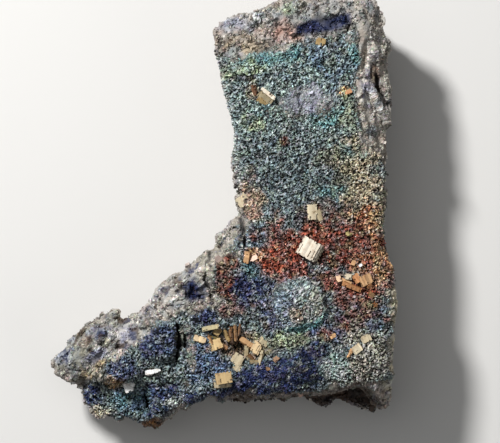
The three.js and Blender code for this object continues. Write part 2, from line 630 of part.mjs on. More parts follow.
function toGeometry(solid) {
  const mesh = solid.getMesh();
  const geometry = new THREE.BufferGeometry();
  geometry.setAttribute("position", new THREE.BufferAttribute(mesh.vertProperties, 3));
  geometry.setIndex(new THREE.BufferAttribute(mesh.triVerts, 1));
  return geometry;
}

// One flat plate with its four corners cut off, lying level with its middle at the origin.
function leafGeometry({ w, l, t }) {
  const cut = cornerCut * Math.min(w, l);
  const shape = new THREE.Shape();
  const corners = [[-w / 2 + cut, -l / 2], [w / 2 - cut, -l / 2], [w / 2, -l / 2 + cut], [w / 2, l / 2 - cut],
    [w / 2 - cut, l / 2], [-w / 2 + cut, l / 2], [-w / 2, l / 2 - cut], [-w / 2, -l / 2 + cut]];
  corners.forEach(([x, y], i) => (i === 0 ? shape.moveTo(x, y) : shape.lineTo(x, y)));
  shape.closePath();
  return new THREE.ExtrudeGeometry(shape, { depth: t, bevelEnabled: false }).translate(0, 0, -t / 2);
}

// A plate turned in plan, then leant over towards its bearing.
function placedLeaf(leaf) {
  const bearing = degrees(leaf.bearing);
  const axis = new THREE.Vector3(-Math.sin(bearing), Math.cos(bearing), 0);
  const geometry = leafGeometry(leaf).rotateZ(degrees(leaf.turn));
  geometry.applyMatrix4(new THREE.Matrix4().makeRotationAxis(axis, degrees(leaf.lean)));
  return geometry.translate(leaf.x, leaf.y, leaf.rise);
}

// A crystal's leaves joined, and lifted until its lowest corner clears the rock by the seat gap.
function crystalGeometry(crystal) {
  const leaves = crystal.leaves.map(placedLeaf);
  const joined = leaves.map(toSolid).reduce((whole, leaf) => whole.add(leaf));
  const geometry = toGeometry(joined);
  const { array } = geometry.attributes.position;
  let lift = -Infinity;
  for (let i = 0; i < array.length; i += 3) {
    lift = Math.max(lift, frontZ(array[i], array[i + 1]) - array[i + 2]);
  }
  return geometry.translate(0, 0, lift + seatGap);
}

function isNearPlate(x, y, room) {
  return crystals.some((crystal) => crystal.leaves.some(
    (leaf) => Math.hypot(x - leaf.x, y - leaf.y) < Math.max(leaf.w, leaf.l) / 2 + room,
  ));
}

// The coarser crystals of the druse, as eight-sided grains half sunk in the face.
function druseGrains() {
  const places = scatter(druseField, druseSpacing, [], 300).filter(([x, y]) =>
    depthInside(x, y, rimOutline) > druseRadius && !isNearPlate(x, y, druseClearance)
    && bareEllipses.every((ellipse) => reachIn(x, y, ellipse) > 1));
  return places.map(([x, y], i) => {
    const size = druseRadius * (0.75 + 0.6 * chance(i, 1, 400));
    const grain = new THREE.OctahedronGeometry(size, 0);
    grain.rotateX(degrees(grainLean * (chance(i, 2, 400) - 0.5)));
    grain.rotateY(degrees(grainLean * (chance(i, 3, 400) - 0.5)));
    grain.rotateZ(degrees(360 * chance(i, 4, 400)));
    const around = [[0, 0], [size, 0], [-size, 0], [0, size], [0, -size]];
    const seat = Math.min(...around.map(([dx, dy]) => frontZ(x + 0.6 * dx, y + 0.6 * dy)));
    return grain.translate(x, y, seat + grainProud * size);
  });
}

function rockGeometry() {
  const slab = toSolid(slabGeometry());
  const grains = druseGrains().map(toSolid).reduce((whole, grain) => whole.add(grain));
  return toGeometry(slab.add(grains));
}

function namedMesh(name, geometry, colour, roughness) {
  const flat = geometry.toNonIndexed();
  flat.computeVertexNormals();
  const mesh = new THREE.Mesh(flat, new THREE.MeshStandardMaterial({ color: colour, roughness, metalness: 0 }));
  mesh.name = name;
  return mesh;
}

// The specimen, moved so that the middle of its outline stands over the origin.
const specimen = new THREE.Group();
specimen.add(namedMesh("matrix_rock", rockGeometry(), 0x6d7472, 0.8));
for (const crystal of crystals) {
  specimen.add(namedMesh(`bassetite_${crystal.name}`, crystalGeometry(crystal), crystal.colour, 0.35));
}
const extent = new THREE.Box3().setFromObject(specimen);
specimen.position.set(-(extent.min.x + extent.max.x) / 2, -(extent.min.y + extent.max.y) / 2, -extent.min.z);

export default specimen;
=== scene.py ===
# Looks of the bassetite specimen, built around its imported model.
# Shapes are worked out in millimetres and become metres when a mesh is made.
# x, y and z are the frame's own.
import json
import math

import bmesh
import bpy
import numpy as np
from mathutils import Matrix, Vector
from mathutils.bvhtree import BVHTree


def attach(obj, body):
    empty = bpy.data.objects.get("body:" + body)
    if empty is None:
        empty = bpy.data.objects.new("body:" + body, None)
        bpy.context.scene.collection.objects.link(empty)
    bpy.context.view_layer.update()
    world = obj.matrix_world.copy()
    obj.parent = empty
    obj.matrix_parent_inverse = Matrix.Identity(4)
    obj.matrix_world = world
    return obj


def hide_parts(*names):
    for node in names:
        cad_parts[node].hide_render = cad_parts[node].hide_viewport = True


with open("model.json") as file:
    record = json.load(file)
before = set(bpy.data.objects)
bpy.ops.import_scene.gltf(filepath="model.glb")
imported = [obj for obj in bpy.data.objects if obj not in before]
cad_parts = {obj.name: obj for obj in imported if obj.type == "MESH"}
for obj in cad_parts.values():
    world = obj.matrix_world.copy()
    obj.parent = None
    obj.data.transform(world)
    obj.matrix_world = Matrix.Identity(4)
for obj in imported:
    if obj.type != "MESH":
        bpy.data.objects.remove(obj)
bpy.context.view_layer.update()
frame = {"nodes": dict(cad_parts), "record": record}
metresPerMm = 0.001
dice = np.random.default_rng(1924)
print("frame loaded:", len(frame["nodes"]), "nodes")


# Colours as the eye sees them, from 0 to 255.
def colour(red, green, blue):
    shown = np.array([red, green, blue]) / 255
    return np.where(shown <= 0.04045, shown / 12.92, ((shown + 0.055) / 1.055) ** 2.4)


palette = {
    "slate": colour(88, 100, 102), "pewter": colour(112, 127, 122), "storm": colour(80, 88, 92),
    "teal": colour(66, 98, 104), "seafoam": colour(114, 136, 130), "turquoise": colour(90, 132, 134),
    "moss": colour(104, 118, 84), "lichen": colour(140, 152, 112), "sage": colour(110, 124, 112),
    "steel": colour(76, 98, 122), "navy": colour(38, 46, 78), "indigo": colour(31, 38, 72),
    "ink": colour(22, 26, 44), "dusk": colour(64, 72, 98), "lavender": colour(124, 124, 138),
    "rust": colour(126, 61, 41), "brick": colour(108, 50, 36), "maroon": colour(78, 41, 33),
    "salmon": colour(150, 112, 98), "ochre": colour(150, 108, 68), "orange": colour(156, 104, 62),
    "sand": colour(158, 142, 114), "tan": colour(128, 114, 90), "olive": colour(104, 104, 80),
    "umber": colour(88, 70, 58), "taupe": colour(128, 118, 108), "stone": colour(142, 136, 128),
    "ash": colour(122, 125, 126), "mist": colour(146, 150, 148), "chalk": colour(170, 166, 156),
    "quartz": colour(150, 155, 163), "blush": colour(148, 130, 122), "bone": colour(188, 178, 150),
    "shade": colour(46, 40, 36), "sallow": colour(120, 117, 104),
}


# Repeatable noise over points in millimetres.
def hashed(cell, seed):
    mixed = cell[..., 0] * 374761393 + cell[..., 1] * 668265263 + cell[..., 2] * 1440662683
    mixed = mixed + seed * 1013904223
    mixed = (mixed ^ (mixed >> 13)) & 0x7FFFFFFF
    mixed = (mixed * 1274126177) & 0x7FFFFFFF
    return ((mixed ^ (mixed >> 16)) & 0xFFFFFF) / 0xFFFFFF


def softNoise(points, size, seed=0):
    scaled = points / size
    cell = np.floor(scaled).astype(np.int64)
    part = scaled - cell
    part = part * part * (3 - 2 * part)
    total = np.zeros(len(points))
    for corner in np.ndindex(2, 2, 2):
        step = np.array(corner)
        total += np.prod(np.where(step, part, 1 - part), axis=1) * hashed(cell + step, seed)
    return 2 * total - 1


def layeredNoise(points, size, layers, seed=0):
    total = np.zeros(len(points))
    for layer in range(layers):
        total += softNoise(points, size / 2 ** layer, seed + layer) / 1.7 ** layer
    return total


# Level and distance from the nearest edge for chips with flat tops that tilt every way.
def chipNoise(points, size, seed=0):
    scaled = points / size
    home = np.floor(scaled).astype(np.int64)
    nearest = np.full(len(points), 9.0)
    second = np.full(len(points), 9.0)
    level = np.zeros(len(points))
    for step in np.ndindex(3, 3, 3):
        cell = home + np.array(step) - 1
        throws = [hashed(cell, seed + k) for k in range(7)]
        away = scaled - cell - np.stack(throws[:3], axis=1)
        distance = np.linalg.norm(away, axis=1)
        tilt = np.stack(throws[3:6], axis=1) * 2 - 1
        isNearer = distance < nearest
        second = np.where(isNearer, nearest, np.minimum(second, distance))
        level = np.where(isNearer, (away * tilt).sum(axis=1) + throws[6] - 0.5, level)
        nearest = np.where(isNearer, distance, nearest)
    return level, second - nearest


def ease(low, high, value):
    part = np.clip((value - low) / (high - low), 0, 1)
    return part * part * (3 - 2 * part)


# The points in plan, for noise that is the same at every height.
def flat(points):
    return np.column_stack([points[:, 0], points[:, 1], np.zeros(len(points))])


# Places in plan: an oval spot turned by degrees, an outlined area and a route.
def spot(x, y, across, along, turn=0, **settings):
    return {"at": (x, y), "size": (across, along), "turn": turn, **settings}


def area(outline, **settings):
    return {"outline": outline, **settings}


def route(line, **settings):
    return {"line": line, **settings}


# 0 in the middle of a spot and 1 on its edge.
def reachIn(points, place):
    turn = math.radians(place["turn"])
    away = points[:, :2] - place["at"]
    across = away[:, 0] * math.cos(turn) + away[:, 1] * math.sin(turn)
    along = away[:, 1] * math.cos(turn) - away[:, 0] * math.sin(turn)
    return np.hypot(across / place["size"][0], along / place["size"][1])


def distanceToLine(points, line):
    nearest = np.full(len(points), 99.0)
    for start, end in zip(line, line[1:]):
        start, end = np.array(start), np.array(end)
        part = np.clip((points[:, :2] - start) @ (end - start) / ((end - start) @ (end - start)), 0, 1)
        away = points[:, :2] - start - part[:, None] * (end - start)
        nearest = np.minimum(nearest, np.linalg.norm(away, axis=1))
    return nearest


# Above 0 inside an outline and below 0 outside it.
def depthInside(points, outline):
    closed = outline + outline[:1]
    isInside = np.zeros(len(points), bool)
    x, y = points[:, 0], points[:, 1]
    for (ax, ay), (bx, by) in zip(closed, closed[1:]):
        if ay != by:
            isInside ^= ((ay > y) != (by > y)) & (x < ax + (y - ay) * (bx - ax) / (by - ay))
    return np.where(isInside, 1, -1) * distanceToLine(points, closed)


zoneEdge = {"ragged": 0.5, "raggedSize": 1.5, "softness": 0.3, "outer": 1.3, "inner": 0.5}


# How strongly a zone shows at each point, with a ragged edge.
def reachOfZone(points, zone, seed):
    ragged = layeredNoise(flat(points), zoneEdge["raggedSize"], 5, seed)
    ragged = zone.get("ragged", zoneEdge["ragged"]) * ragged
    if "outline" in zone:
        inside = depthInside(points, zone["outline"]) + ragged
        reach = ease(-zoneEdge["softness"], zoneEdge["softness"], inside)
    else:
        reach = ease(zoneEdge["outer"], zoneEdge["inner"], reachIn(points, zone) + ragged)
    return zone.get("strength", 1) * reach


# Shaders are written as sums over sockets.
class Wire:
    def __init__(self, tree, socket=None):
        self.tree = tree
        self.socket = socket

    def node(self, kind, settings=None, inputs=None, out=0):
        made = self.tree.nodes.new(kind)
        for key, value in (settings or {}).items():
            setattr(made, key, value)
        for key, value in (inputs or {}).items():
            if isinstance(value, Wire):
                self.tree.links.new(value.socket, made.inputs[key])
            else:
                made.inputs[key].default_value = value
        return Wire(self.tree, made.outputs[out] if len(made.outputs) else None)

    def maths(self, operation, *values):
        return self.node("ShaderNodeMath", {"operation": operation}, dict(enumerate(values)))

    def blend(self, kind, factor, below, above):
        return self.node("ShaderNodeMix", {"data_type": "RGBA", "blend_type": kind},
                         {0: factor, 6: below, 7: above}, out=2)

    def __add__(self, other):
        return self.maths("ADD", self, other)

    def __sub__(self, other):
        return self.maths("SUBTRACT", self, other)

    def __rsub__(self, other):
        return self.maths("SUBTRACT", other, self)

    def __mul__(self, other):
        return self.maths("MULTIPLY", self, other)

    __radd__ = __add__
    __rmul__ = __mul__


def newLook(name):
    look = bpy.data.materials.new(name)
    look.use_nodes = True
    look.node_tree.nodes.clear()
    return look, Wire(look.node_tree)


def finishLook(wire, sockets):
    shader = wire.node("ShaderNodeBsdfPrincipled", None, sockets)
    wire.node("ShaderNodeOutputMaterial", None, {"Surface": shader})


# The looks. Grain sizes are in millimetres, and bumps are in metres.
rockFinish = {
    "grainSize": 0.35, "grainTone": 0.5, "roughness": 0.82, "shine": 0.5, "sparkle": 0.35, "bump": 0.00004,
}


def makeRockLook():
    look, wire = newLook("quartz rock")
    place = wire.node("ShaderNodeTexCoord", out=3)
    tint = wire.node("ShaderNodeAttribute", {"attribute_name": "tint"}, out=0)
    fine = wire.node("ShaderNodeTexNoise", None,
                     {"Vector": place, "Scale": 1000 / rockFinish["grainSize"],
                      "Detail": 6.0, "Roughness": 0.65})
    grains = wire.node("ShaderNodeTexVoronoi", {"feature": "F1"},
                       {"Vector": place, "Scale": 1000 / (0.6 * rockFinish["grainSize"])}, out=1)
    grainTone = wire.node("ShaderNodeSeparateColor", None, {"Color": grains}, out=0)
    tone = 1 + rockFinish["grainTone"] * (fine * 1.6 + grainTone * 0.9 - 1.25)
    shade = wire.node("ShaderNodeCombineColor", None, {0: tone, 1: tone, 2: tone})
    base = wire.blend("MULTIPLY", 1.0, tint, shade)
    glint = wire.node("ShaderNodeMapRange", None, {"Value": grainTone, 1: 0.78, 2: 0.86, 3: 0.0, 4: 1.0})
    bump = wire.node("ShaderNodeBump", None,
                     {"Strength": 0.8, "Distance": rockFinish["bump"], "Height": fine + grainTone * 0.6})
    finishLook(wire, {"Base Color": base, "Normal": bump, "Specular IOR Level": rockFinish["shine"],
                      "Roughness": rockFinish["roughness"] - rockFinish["sparkle"] * glint})
    return look


druseFinish = {"roughness": 0.34, "roughSpread": 0.3, "mottle": 0.35, "mottleScale": 9000.0, "shine": 0.3}


def makeDruseLook():
    look, wire = newLook("druse crystals")
    place = wire.node("ShaderNodeTexCoord", out=3)
    tint = wire.node("ShaderNodeAttribute", {"attribute_name": "tint"}, out=0)
    gloss = wire.node("ShaderNodeAttribute", {"attribute_name": "tint"}, out=3)
    mottle = wire.node("ShaderNodeTexNoise", None,
                       {"Vector": place, "Scale": druseFinish["mottleScale"], "Detail": 3.0})
    tone = 1 + druseFinish["mottle"] * (mottle * 2 - 1)
    shade = wire.node("ShaderNodeCombineColor", None, {0: tone, 1: tone, 2: tone})
    base = wire.blend("MULTIPLY", 1.0, tint, shade)
    finishLook(wire, {"Base Color": base, "Specular IOR Level": druseFinish["shine"],
                      "Roughness": druseFinish["roughness"] + druseFinish["roughSpread"] * (1 - gloss)})
    return look


crustFinish = {"grainSize": 0.11, "grainTone": 0.6, "roughness": 0.6, "shine": 0.08, "bump": 0.00003}


def makeCrustLook():
    look, wire = newLook("druse crust")
    place = wire.node("ShaderNodeTexCoord", out=3)
    tint = wire.node("ShaderNodeAttribute", {"attribute_name": "tint"}, out=0)
    fine = wire.node("ShaderNodeTexNoise", None,
                     {"Vector": place, "Scale": 1000 / crustFinish["grainSize"],
                      "Detail": 3.0, "Roughness": 0.6})
    tone = 1 + crustFinish["grainTone"] * (fine * 2 - 1)
    shade = wire.node("ShaderNodeCombineColor", None, {0: tone, 1: tone, 2: tone})
    base = wire.blend("MULTIPLY", 1.0, tint, shade)
    bump = wire.node("ShaderNodeBump", None,
                     {"Strength": 0.8, "Distance": crustFinish["bump"], "Height": fine})
    finishLook(wire, {"Base Color": base, "Normal": bump, "Specular IOR Level": crustFinish["shine"],
                      "Roughness": crustFinish["roughness"]})
    return look


plateFinish = {
    "roughness": 0.3, "scratchRoughness": 0.15, "scratchScale": 14000.0, "scratchBump": 0.00001,
    "stain": 0.45, "stainScale": 1800.0, "stainColour": (0.52, 0.3, 0.13, 1),
    "shine": 0.55, "coat": 0.25,
}


def makePlateLook():
    look, wire = newLook("bassetite")
    place = wire.node("ShaderNodeTexCoord", out=3)
    tint = wire.node("ShaderNodeAttribute", {"attribute_name": "tint"}, out=0)
    cloud = wire.node("ShaderNodeTexNoise", None,
                      {"Vector": place, "Scale": plateFinish["stainScale"],
                       "Detail": 5.0, "Roughness": 0.6})
    scratch = wire.node("ShaderNodeTexNoise", None,
                        {"Vector": place, "Scale": plateFinish["scratchScale"], "Detail": 2.0})
    stained = wire.node("ShaderNodeMapRange", None,
                        {"Value": cloud, 1: 0.5, 2: 0.68, 3: 0.0, 4: plateFinish["stain"]})
    stain = wire.blend("MULTIPLY", 1.0, tint, plateFinish["stainColour"])
    base = wire.blend("MIX", stained, tint, stain)
    bump = wire.node("ShaderNodeBump", None,
                     {"Strength": 0.5, "Distance": plateFinish["scratchBump"], "Height": scratch})
    finishLook(wire, {"Base Color": base, "Normal": bump, "Specular IOR Level": plateFinish["shine"],
                      "Coat Weight": plateFinish["coat"],
                      "Roughness": plateFinish["roughness"] + scratch * plateFinish["scratchRoughness"]})
    return look


looks = {
    "rock": makeRockLook(), "crust": makeCrustLook(),
    "druse": makeDruseLook(), "plate": makePlateLook(),
}
print("looks made")


def makePiece(name, points, faces, look, slot, tints, nodes=()):
    mesh = bpy.data.meshes.new(name)
    sides = faces.shape[1]
    mesh.vertices.add(len(points))
    mesh.vertices.foreach_set("co", (points * metresPerMm).astype(np.float32).ravel())
    mesh.loops.add(faces.size)
    mesh.loops.foreach_set("vertex_index", faces.astype(np.int32).ravel())
    mesh.polygons.add(len(faces))
    mesh.polygons.foreach_set("loop_start", np.arange(0, faces.size, sides, dtype=np.int32))
    mesh.update(calc_edges=True)
    mesh.validate()
    layer = mesh.color_attributes.new(name="tint", type="FLOAT_COLOR", domain="CORNER")
    layer.data.foreach_set("color", tints.astype(np.float32).ravel())
    piece = bpy.data.objects.new(name, mesh)
    bpy.context.scene.collection.objects.link(piece)
    mesh.materials.append(look)
    mesh.shade_flat()
    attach(piece, "root")
    if nodes:
        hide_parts(*nodes)


# Camera, floor and lights.
studio = {
    "aim": (2.77, -0.7, 11.0),  # middle of the photograph's frame, at the height of the crystal face
    "frameWidth": 50.0, "lens": 300.0, "sensor": 36.0,
    "keyAt": (-150, 190, 240), "keySize": 50, "keyPower": 1.75,
    "softAt": (-60, 60, 320), "softSize": 320, "softPower": 0.2,
    "fillAt": (220, -120, 200), "fillSize": 200, "fillPower": 0.1,
    "airColour": (0.9, 0.95, 1.0, 1), "airStrength": 0.08,
    "floorSize": 900, "floorColour": (0.62, 0.61, 0.59, 1),
}


def pointAt(thing, target):
    thing.rotation_euler = (Vector(target) - thing.location).to_track_quat("-Z", "Y").to_euler()


def makeLight(name, at, size, power):
    lamp = bpy.data.lights.new(name, "AREA")
    lamp.shape = "DISK"
    lamp.size = size * metresPerMm
    lamp.energy = power
    light = bpy.data.objects.new(name, lamp)
    light.location = Vector(at) * metresPerMm
    pointAt(light, Vector(studio["aim"]) * metresPerMm)
    bpy.context.scene.collection.objects.link(light)


def makeStudio():
    scene = bpy.context.scene
    lensData = bpy.data.cameras.new("camera")
    lensData.lens = studio["lens"]
    lensData.sensor_width = studio["sensor"]
    lensData.clip_start = 0.01
    camera = bpy.data.objects.new("camera", lensData)
    x, y, z = studio["aim"]
    away = studio["frameWidth"] * studio["lens"] / studio["sensor"]
    camera.location = Vector((x, y, z + away)) * metresPerMm
    scene.collection.objects.link(camera)
    scene.camera = camera
    for light in ("key", "soft", "fill"):
        makeLight(light, studio[light + "At"], studio[light + "Size"], studio[light + "Power"])
    world = bpy.data.worlds.new("studio air")
    world.use_nodes = True
    air = world.node_tree.nodes["Background"].inputs
    air["Color"].default_value = studio["airColour"]
    air["Strength"].default_value = studio["airStrength"]
    scene.world = world
    scene.view_settings.view_transform = "Standard"
    look, wire = newLook("pale paper")
    finishLook(wire, {"Base Color": studio["floorColour"], "Roughness": 0.9})
    half = studio["floorSize"] / 2
    sheet = bpy.data.meshes.new("floor")
    corners = [(-half, -half), (half, -half), (half, half), (-half, half)]
    sheet.from_pydata([(x * metresPerMm, y * metresPerMm, 0) for x, y in corners], [], [(0, 1, 2, 3)])
    sheet.materials.append(look)
    floor = bpy.data.objects.new("floor", sheet)
    scene.collection.objects.link(floor)


makeStudio()
print("studio made")


# The rock.
rockShape = {
    "voxel": 0.21,  # size of the mesh's cells
    "mapStep": 0.2,  # spacing of the height map
    "grainReach": 4,  # steps of the map that clip the coarse grains off
    "wallChips": ((2.6, 0.3), (1.1, 0.16), (0.5, 0.08)),  # size and height of the facets of broken rock
    "faceChips": ((1.9, 0.34),),
    "pocket": 1.1, "pocketDepth": 0.35,  # size and depth of the dark pockets in the bare rock
    "druseLumps": 0.14,
    "frontSlope": (0.15, 0.5), "frontDepth": 0.6,  # how level the crystal face is, and how near the top
    "faceSlope": (-0.05, 0.25), "faceDepth": 1.2,  # the same for its colours
    "wallBoost": 1.2,
    "surfaceStep": 0.12,  # spacing of the finer height map under the crust
    "rayHeight": 60,  # above everything
}

# Cracks, grooves and, with a depth below 0, raised veins.
cracks = {
    "ankle crack": route([(1.65, 0.1), (1.75, -0.3), (2.1, -1.35), (2.3, -2.5), (2.2, -3.5)], width=0.36,
         depth=0.6),
    "instep crack": route([(-1.3, -3.75), (-1.35, -4.75), (-1.65, -5.75), (-1.75, -6.75), (-1.2, -7.5),
         (-1.15, -8.5)], width=0.28, depth=0.5),
    "block groove": route([(-4.5, -11.0), (-4.55, -12.0), (-4.4, -13.2), (-4.6, -14.6)], width=0.42,
         depth=1.6),
    "second groove": route([(-3.7, -11.9), (-3.75, -13.4)], width=0.2, depth=0.9),
    "toe groove": route([(-7.5, -17.0), (-7.8, -18.2), (-7.4, -19.8)], width=0.35, depth=1.3),
    "toe crack": route([(-6.2, -17.2), (-5.3, -16.7), (-4.5, -17.0)], width=0.2, depth=0.7),
    "stripe step": route([(10.3, 16.9), (11.4, 17.3), (12.4, 17.9), (12.7, 18.9)], width=0.16, depth=0.6),
    "upper groove": route([(1.0, 13.9), (2.2, 13.7), (3.4, 13.95)], width=0.16, depth=0.4),
    "disc crack": route([(9.3, -6.6), (9.8, -7.7), (10.2, -8.6), (10.5, -9.6), (10.6, -10.4)], width=0.2,
         depth=0.8),
    "shoulder vein": route([(15.1, 16.4), (14.6, 15.2), (14.2, 13.9), (14.6, 12.6), (15.3, 11.4),
         (16.1, 10.2), (16.4, 9.2)], width=0.55, depth=-0.4),
    "shoulder groove": route([(15.3, 14.0), (15.5, 13.2), (15.5, 12.4)], width=0.3, depth=0.9),
    "low groove": route([(15.3, 12.7), (16.0, 12.0), (16.5, 11.0)], width=0.28, depth=0.8),
    "low vein": route([(13.9, 11.2), (14.2, 9.4), (15.0, 7.6), (15.7, 6.2)], width=0.4, depth=-0.3),
}

# Hollows. The shade is the part of the light that each loses.
hollows = {
    "golden hollow left": spot(1.6, -13.1, 0.75, 1.0, depth=0.6, shade=0.8, ragged=0.3),
    "golden hollow right": spot(3.0, -12.5, 0.5, 0.4, depth=0.5, shade=0.75, ragged=0.3),
    "golden hollow low": spot(0.4, -13.9, 1.2, 0.35, depth=0.3, shade=0.7, ragged=0.3),
    "vug": spot(-2.6, -8.0, 1.15, 1.25, depth=0.6, shade=0.05, ragged=0.4),
    "toe hollow": spot(-10.5, -13.3, 0.55, 0.4, depth=0.4, shade=0.65),
    "book's foot": spot(9.6, -4.5, 1.0, 0.6, turn=60, depth=0.2, shade=0.6),
}

# Where the druse grew, and the bare spots in it.
druseOutline = [
    (-0.4, 15.5), (2.5, 16.1), (5.0, 16.5), (7.5, 16.9), (11.0, 17.2), (12.6, 17.6), (13.8, 16.7),
    (13.6, 13.7), (13.3, 10.0), (14.0, 7.0), (15.6, 5.6), (16.6, 4.0), (16.6, -3.1), (16.8, -6.2),
    (16.8, -16.0), (15.5, -16.9), (13.3, -16.6), (11.3, -17.4), (7.8, -17.6), (4.0, -17.9), (0.9, -18.4),
    (-2.6, -18.8), (-5.2, -19.9), (-6.8, -20.6), (-9.0, -20.9), (-12.9, -20.6), (-14.2, -18.6),
    (-13.8, -16.9), (-12.0, -16.4), (-11.6, -15.1), (-10.4, -14.1), (-8.4, -12.6), (-6.9, -10.8),
    (-5.0, -10.4), (-2.6, -10.3), (-0.7, -8.8), (-0.9, -5.2), (0.6, -4.0), (2.0, -3.5), (2.0, -0.5),
    (1.5, 2.0), (1.2, 6.0), (0.8, 9.0), (0.0, 12.0),
]
bareSpots = {
    "bare knob": spot(8.95, 11.3, 3.1, 1.45, turn=8, strength=0.9),
    "greenish rib": spot(-4.0, -12.0, 0.5, 1.7, strength=0.8),
    "pink rib": spot(-3.1, -13.9, 0.45, 2.4, turn=8, strength=0.8),
    "white patch": spot(-7.0, -15.8, 0.9, 0.4, strength=0.8),
    "pale green patch": spot(-3.6, -16.6, 0.6, 0.8, strength=0.8),
    "vug": spot(-2.5, -7.9, 1.3, 1.3, strength=1),
}


# The solid of the rock as an even mesh of quads, in millimetres.
def voxelRock():
    rough = frame["nodes"]["matrix_rock"].data.copy()
    shell = bmesh.new()
    shell.from_mesh(rough)
    bmesh.ops.scale(shell, vec=(1000, 1000, 1000), verts=shell.verts)
    bmesh.ops.remove_doubles(shell, verts=shell.verts, dist=0.001)
    shell.to_mesh(rough)
    shell.free()
    holder = bpy.data.objects.new("voxel rock", rough)
    bpy.context.scene.collection.objects.link(holder)
    remesh = holder.modifiers.new("even", "REMESH")
    remesh.mode = "VOXEL"
    remesh.voxel_size = rockShape["voxel"]
    depsgraph = bpy.context.evaluated_depsgraph_get()
    evened = bpy.data.meshes.new_from_object(holder.evaluated_get(depsgraph))
    points = np.empty(len(evened.vertices) * 3, np.float32)
    evened.vertices.foreach_get("co", points)
    corners = np.empty(len(evened.loops), np.int32)
    evened.loops.foreach_get("vertex_index", corners)
    bpy.data.objects.remove(holder)
    bpy.data.meshes.remove(evened)
    return points.reshape(-1, 3).astype(float), corners.reshape(-1, 4)


def quadNormals(points, faces):
    across = points[faces[:, 2]] - points[faces[:, 0]]
    along = points[faces[:, 3]] - points[faces[:, 1]]
    return np.cross(across, along)


def pointNormals(points, faces):
    faceNormals = quadNormals(points, faces)
    normals = np.zeros_like(points)
    for corner in range(4):
        np.add.at(normals, faces[:, corner], faceNormals)
    return normals / np.maximum(np.linalg.norm(normals, axis=1, keepdims=True), 1e-9)


# Heights of the rock's top over an even grid, read between its points.
class HeightMap:
    def __init__(self, points, faces, step):
        tree = BVHTree.FromPolygons(points.tolist(), faces.tolist())
        self.step = step
        self.low = points[:, :2].min(axis=0) - step
        columns, rows = (np.ceil((points[:, :2].max(axis=0) - self.low) / step) + 2).astype(int)
        self.heights = np.full((rows, columns), np.nan)
        self.solid = np.ones((rows, columns))
        down = Vector((0, 0, -1))
        for row in range(rows):
            for column in range(columns):
                x, y = self.low + np.array([column, row]) * step
                hit = tree.ray_cast(Vector((x, y, rockShape["rayHeight"])), down)[0]
                if hit is not None:
                    self.heights[row, column] = hit.z

    def spread(self, heights, reach, pick):
        padded = np.pad(heights, reach, constant_values=np.nan)
        rows, columns = heights.shape
        spread = np.full(heights.shape, np.nan)
        for dy in range(-reach, reach + 1):
            for dx in range(-reach, reach + 1):
                if dx * dx + dy * dy <= reach * reach + 1:
                    part = padded[reach + dy:reach + dy + rows, reach + dx:reach + dx + columns]
                    spread = pick(spread, part)
        return spread

    def clipPeaks(self, reach):
        isRock = ~np.isnan(self.heights)
        lowered = np.where(isRock, self.spread(self.heights, reach, np.fmin), np.nan)
        self.heights = np.where(isRock, self.spread(lowered, reach, np.fmax), np.nan)

    def fillEdge(self):
        self.solid = np.where(np.isnan(self.heights), 0.0, 1.0)
        for _ in range(3):
            grown = self.spread(self.heights, 1, np.fmin)
            self.heights = np.where(np.isnan(self.heights), grown, self.heights)
        self.heights = np.nan_to_num(self.heights, nan=0.0)

    def read(self, layer, points):
        place = (points[:, :2] - self.low) / self.step
        rows, columns = layer.shape
        cell = np.clip(np.floor(place).astype(int), 0, [columns - 2, rows - 2])
        part = np.clip(place - cell, 0, 1)
        column, row = cell.T
        u, v = part.T
        bottom = layer[row, column] * (1 - u) + layer[row, column + 1] * u
        top = layer[row + 1, column] * (1 - u) + layer[row + 1, column + 1] * u
        return bottom * (1 - v) + top * v

    def at(self, points):
        return self.read(self.heights, points)

    def solidAt(self, points):
        return self.read(self.solid, points)

    def normals(self, points, reach):
        dx, dy = np.array([reach, 0, 0]), np.array([0, reach, 0])
        slopeX = (self.at(points + dx) - self.at(points - dx)) / (2 * reach)
        slopeY = (self.at(points + dy) - self.at(points - dy)) / (2 * reach)
        normals = np.column_stack([-slopeX, -slopeY, np.ones(len(points))])
        return normals / np.linalg.norm(normals, axis=1, keepdims=True)


druseEdge = {"softness": 0.5, "ragged": 0.7, "raggedSize": 1.4}


# 1 where the druse covers the rock.
def druseCover(points):
    ragged = druseEdge["ragged"] * layeredNoise(flat(points), druseEdge["raggedSize"], 5, 77)
    inside = depthInside(points, druseOutline) + ragged
    cover = ease(-druseEdge["softness"], druseEdge["softness"], inside)
    for number, bare in enumerate(bareSpots.values()):
        cover = cover * (1 - reachOfZone(points, bare, 80 + number))
    return cover


discOutline = [
    (5.1, -7.4), (6.6, -6.7), (8.05, -6.3), (9.2, -6.85), (9.75, -8.2), (10.25, -9.9), (9.95, -10.75),
    (8.05, -11.3), (6.4, -11.4), (5.7, -10.3), (5.1, -9.05),
]

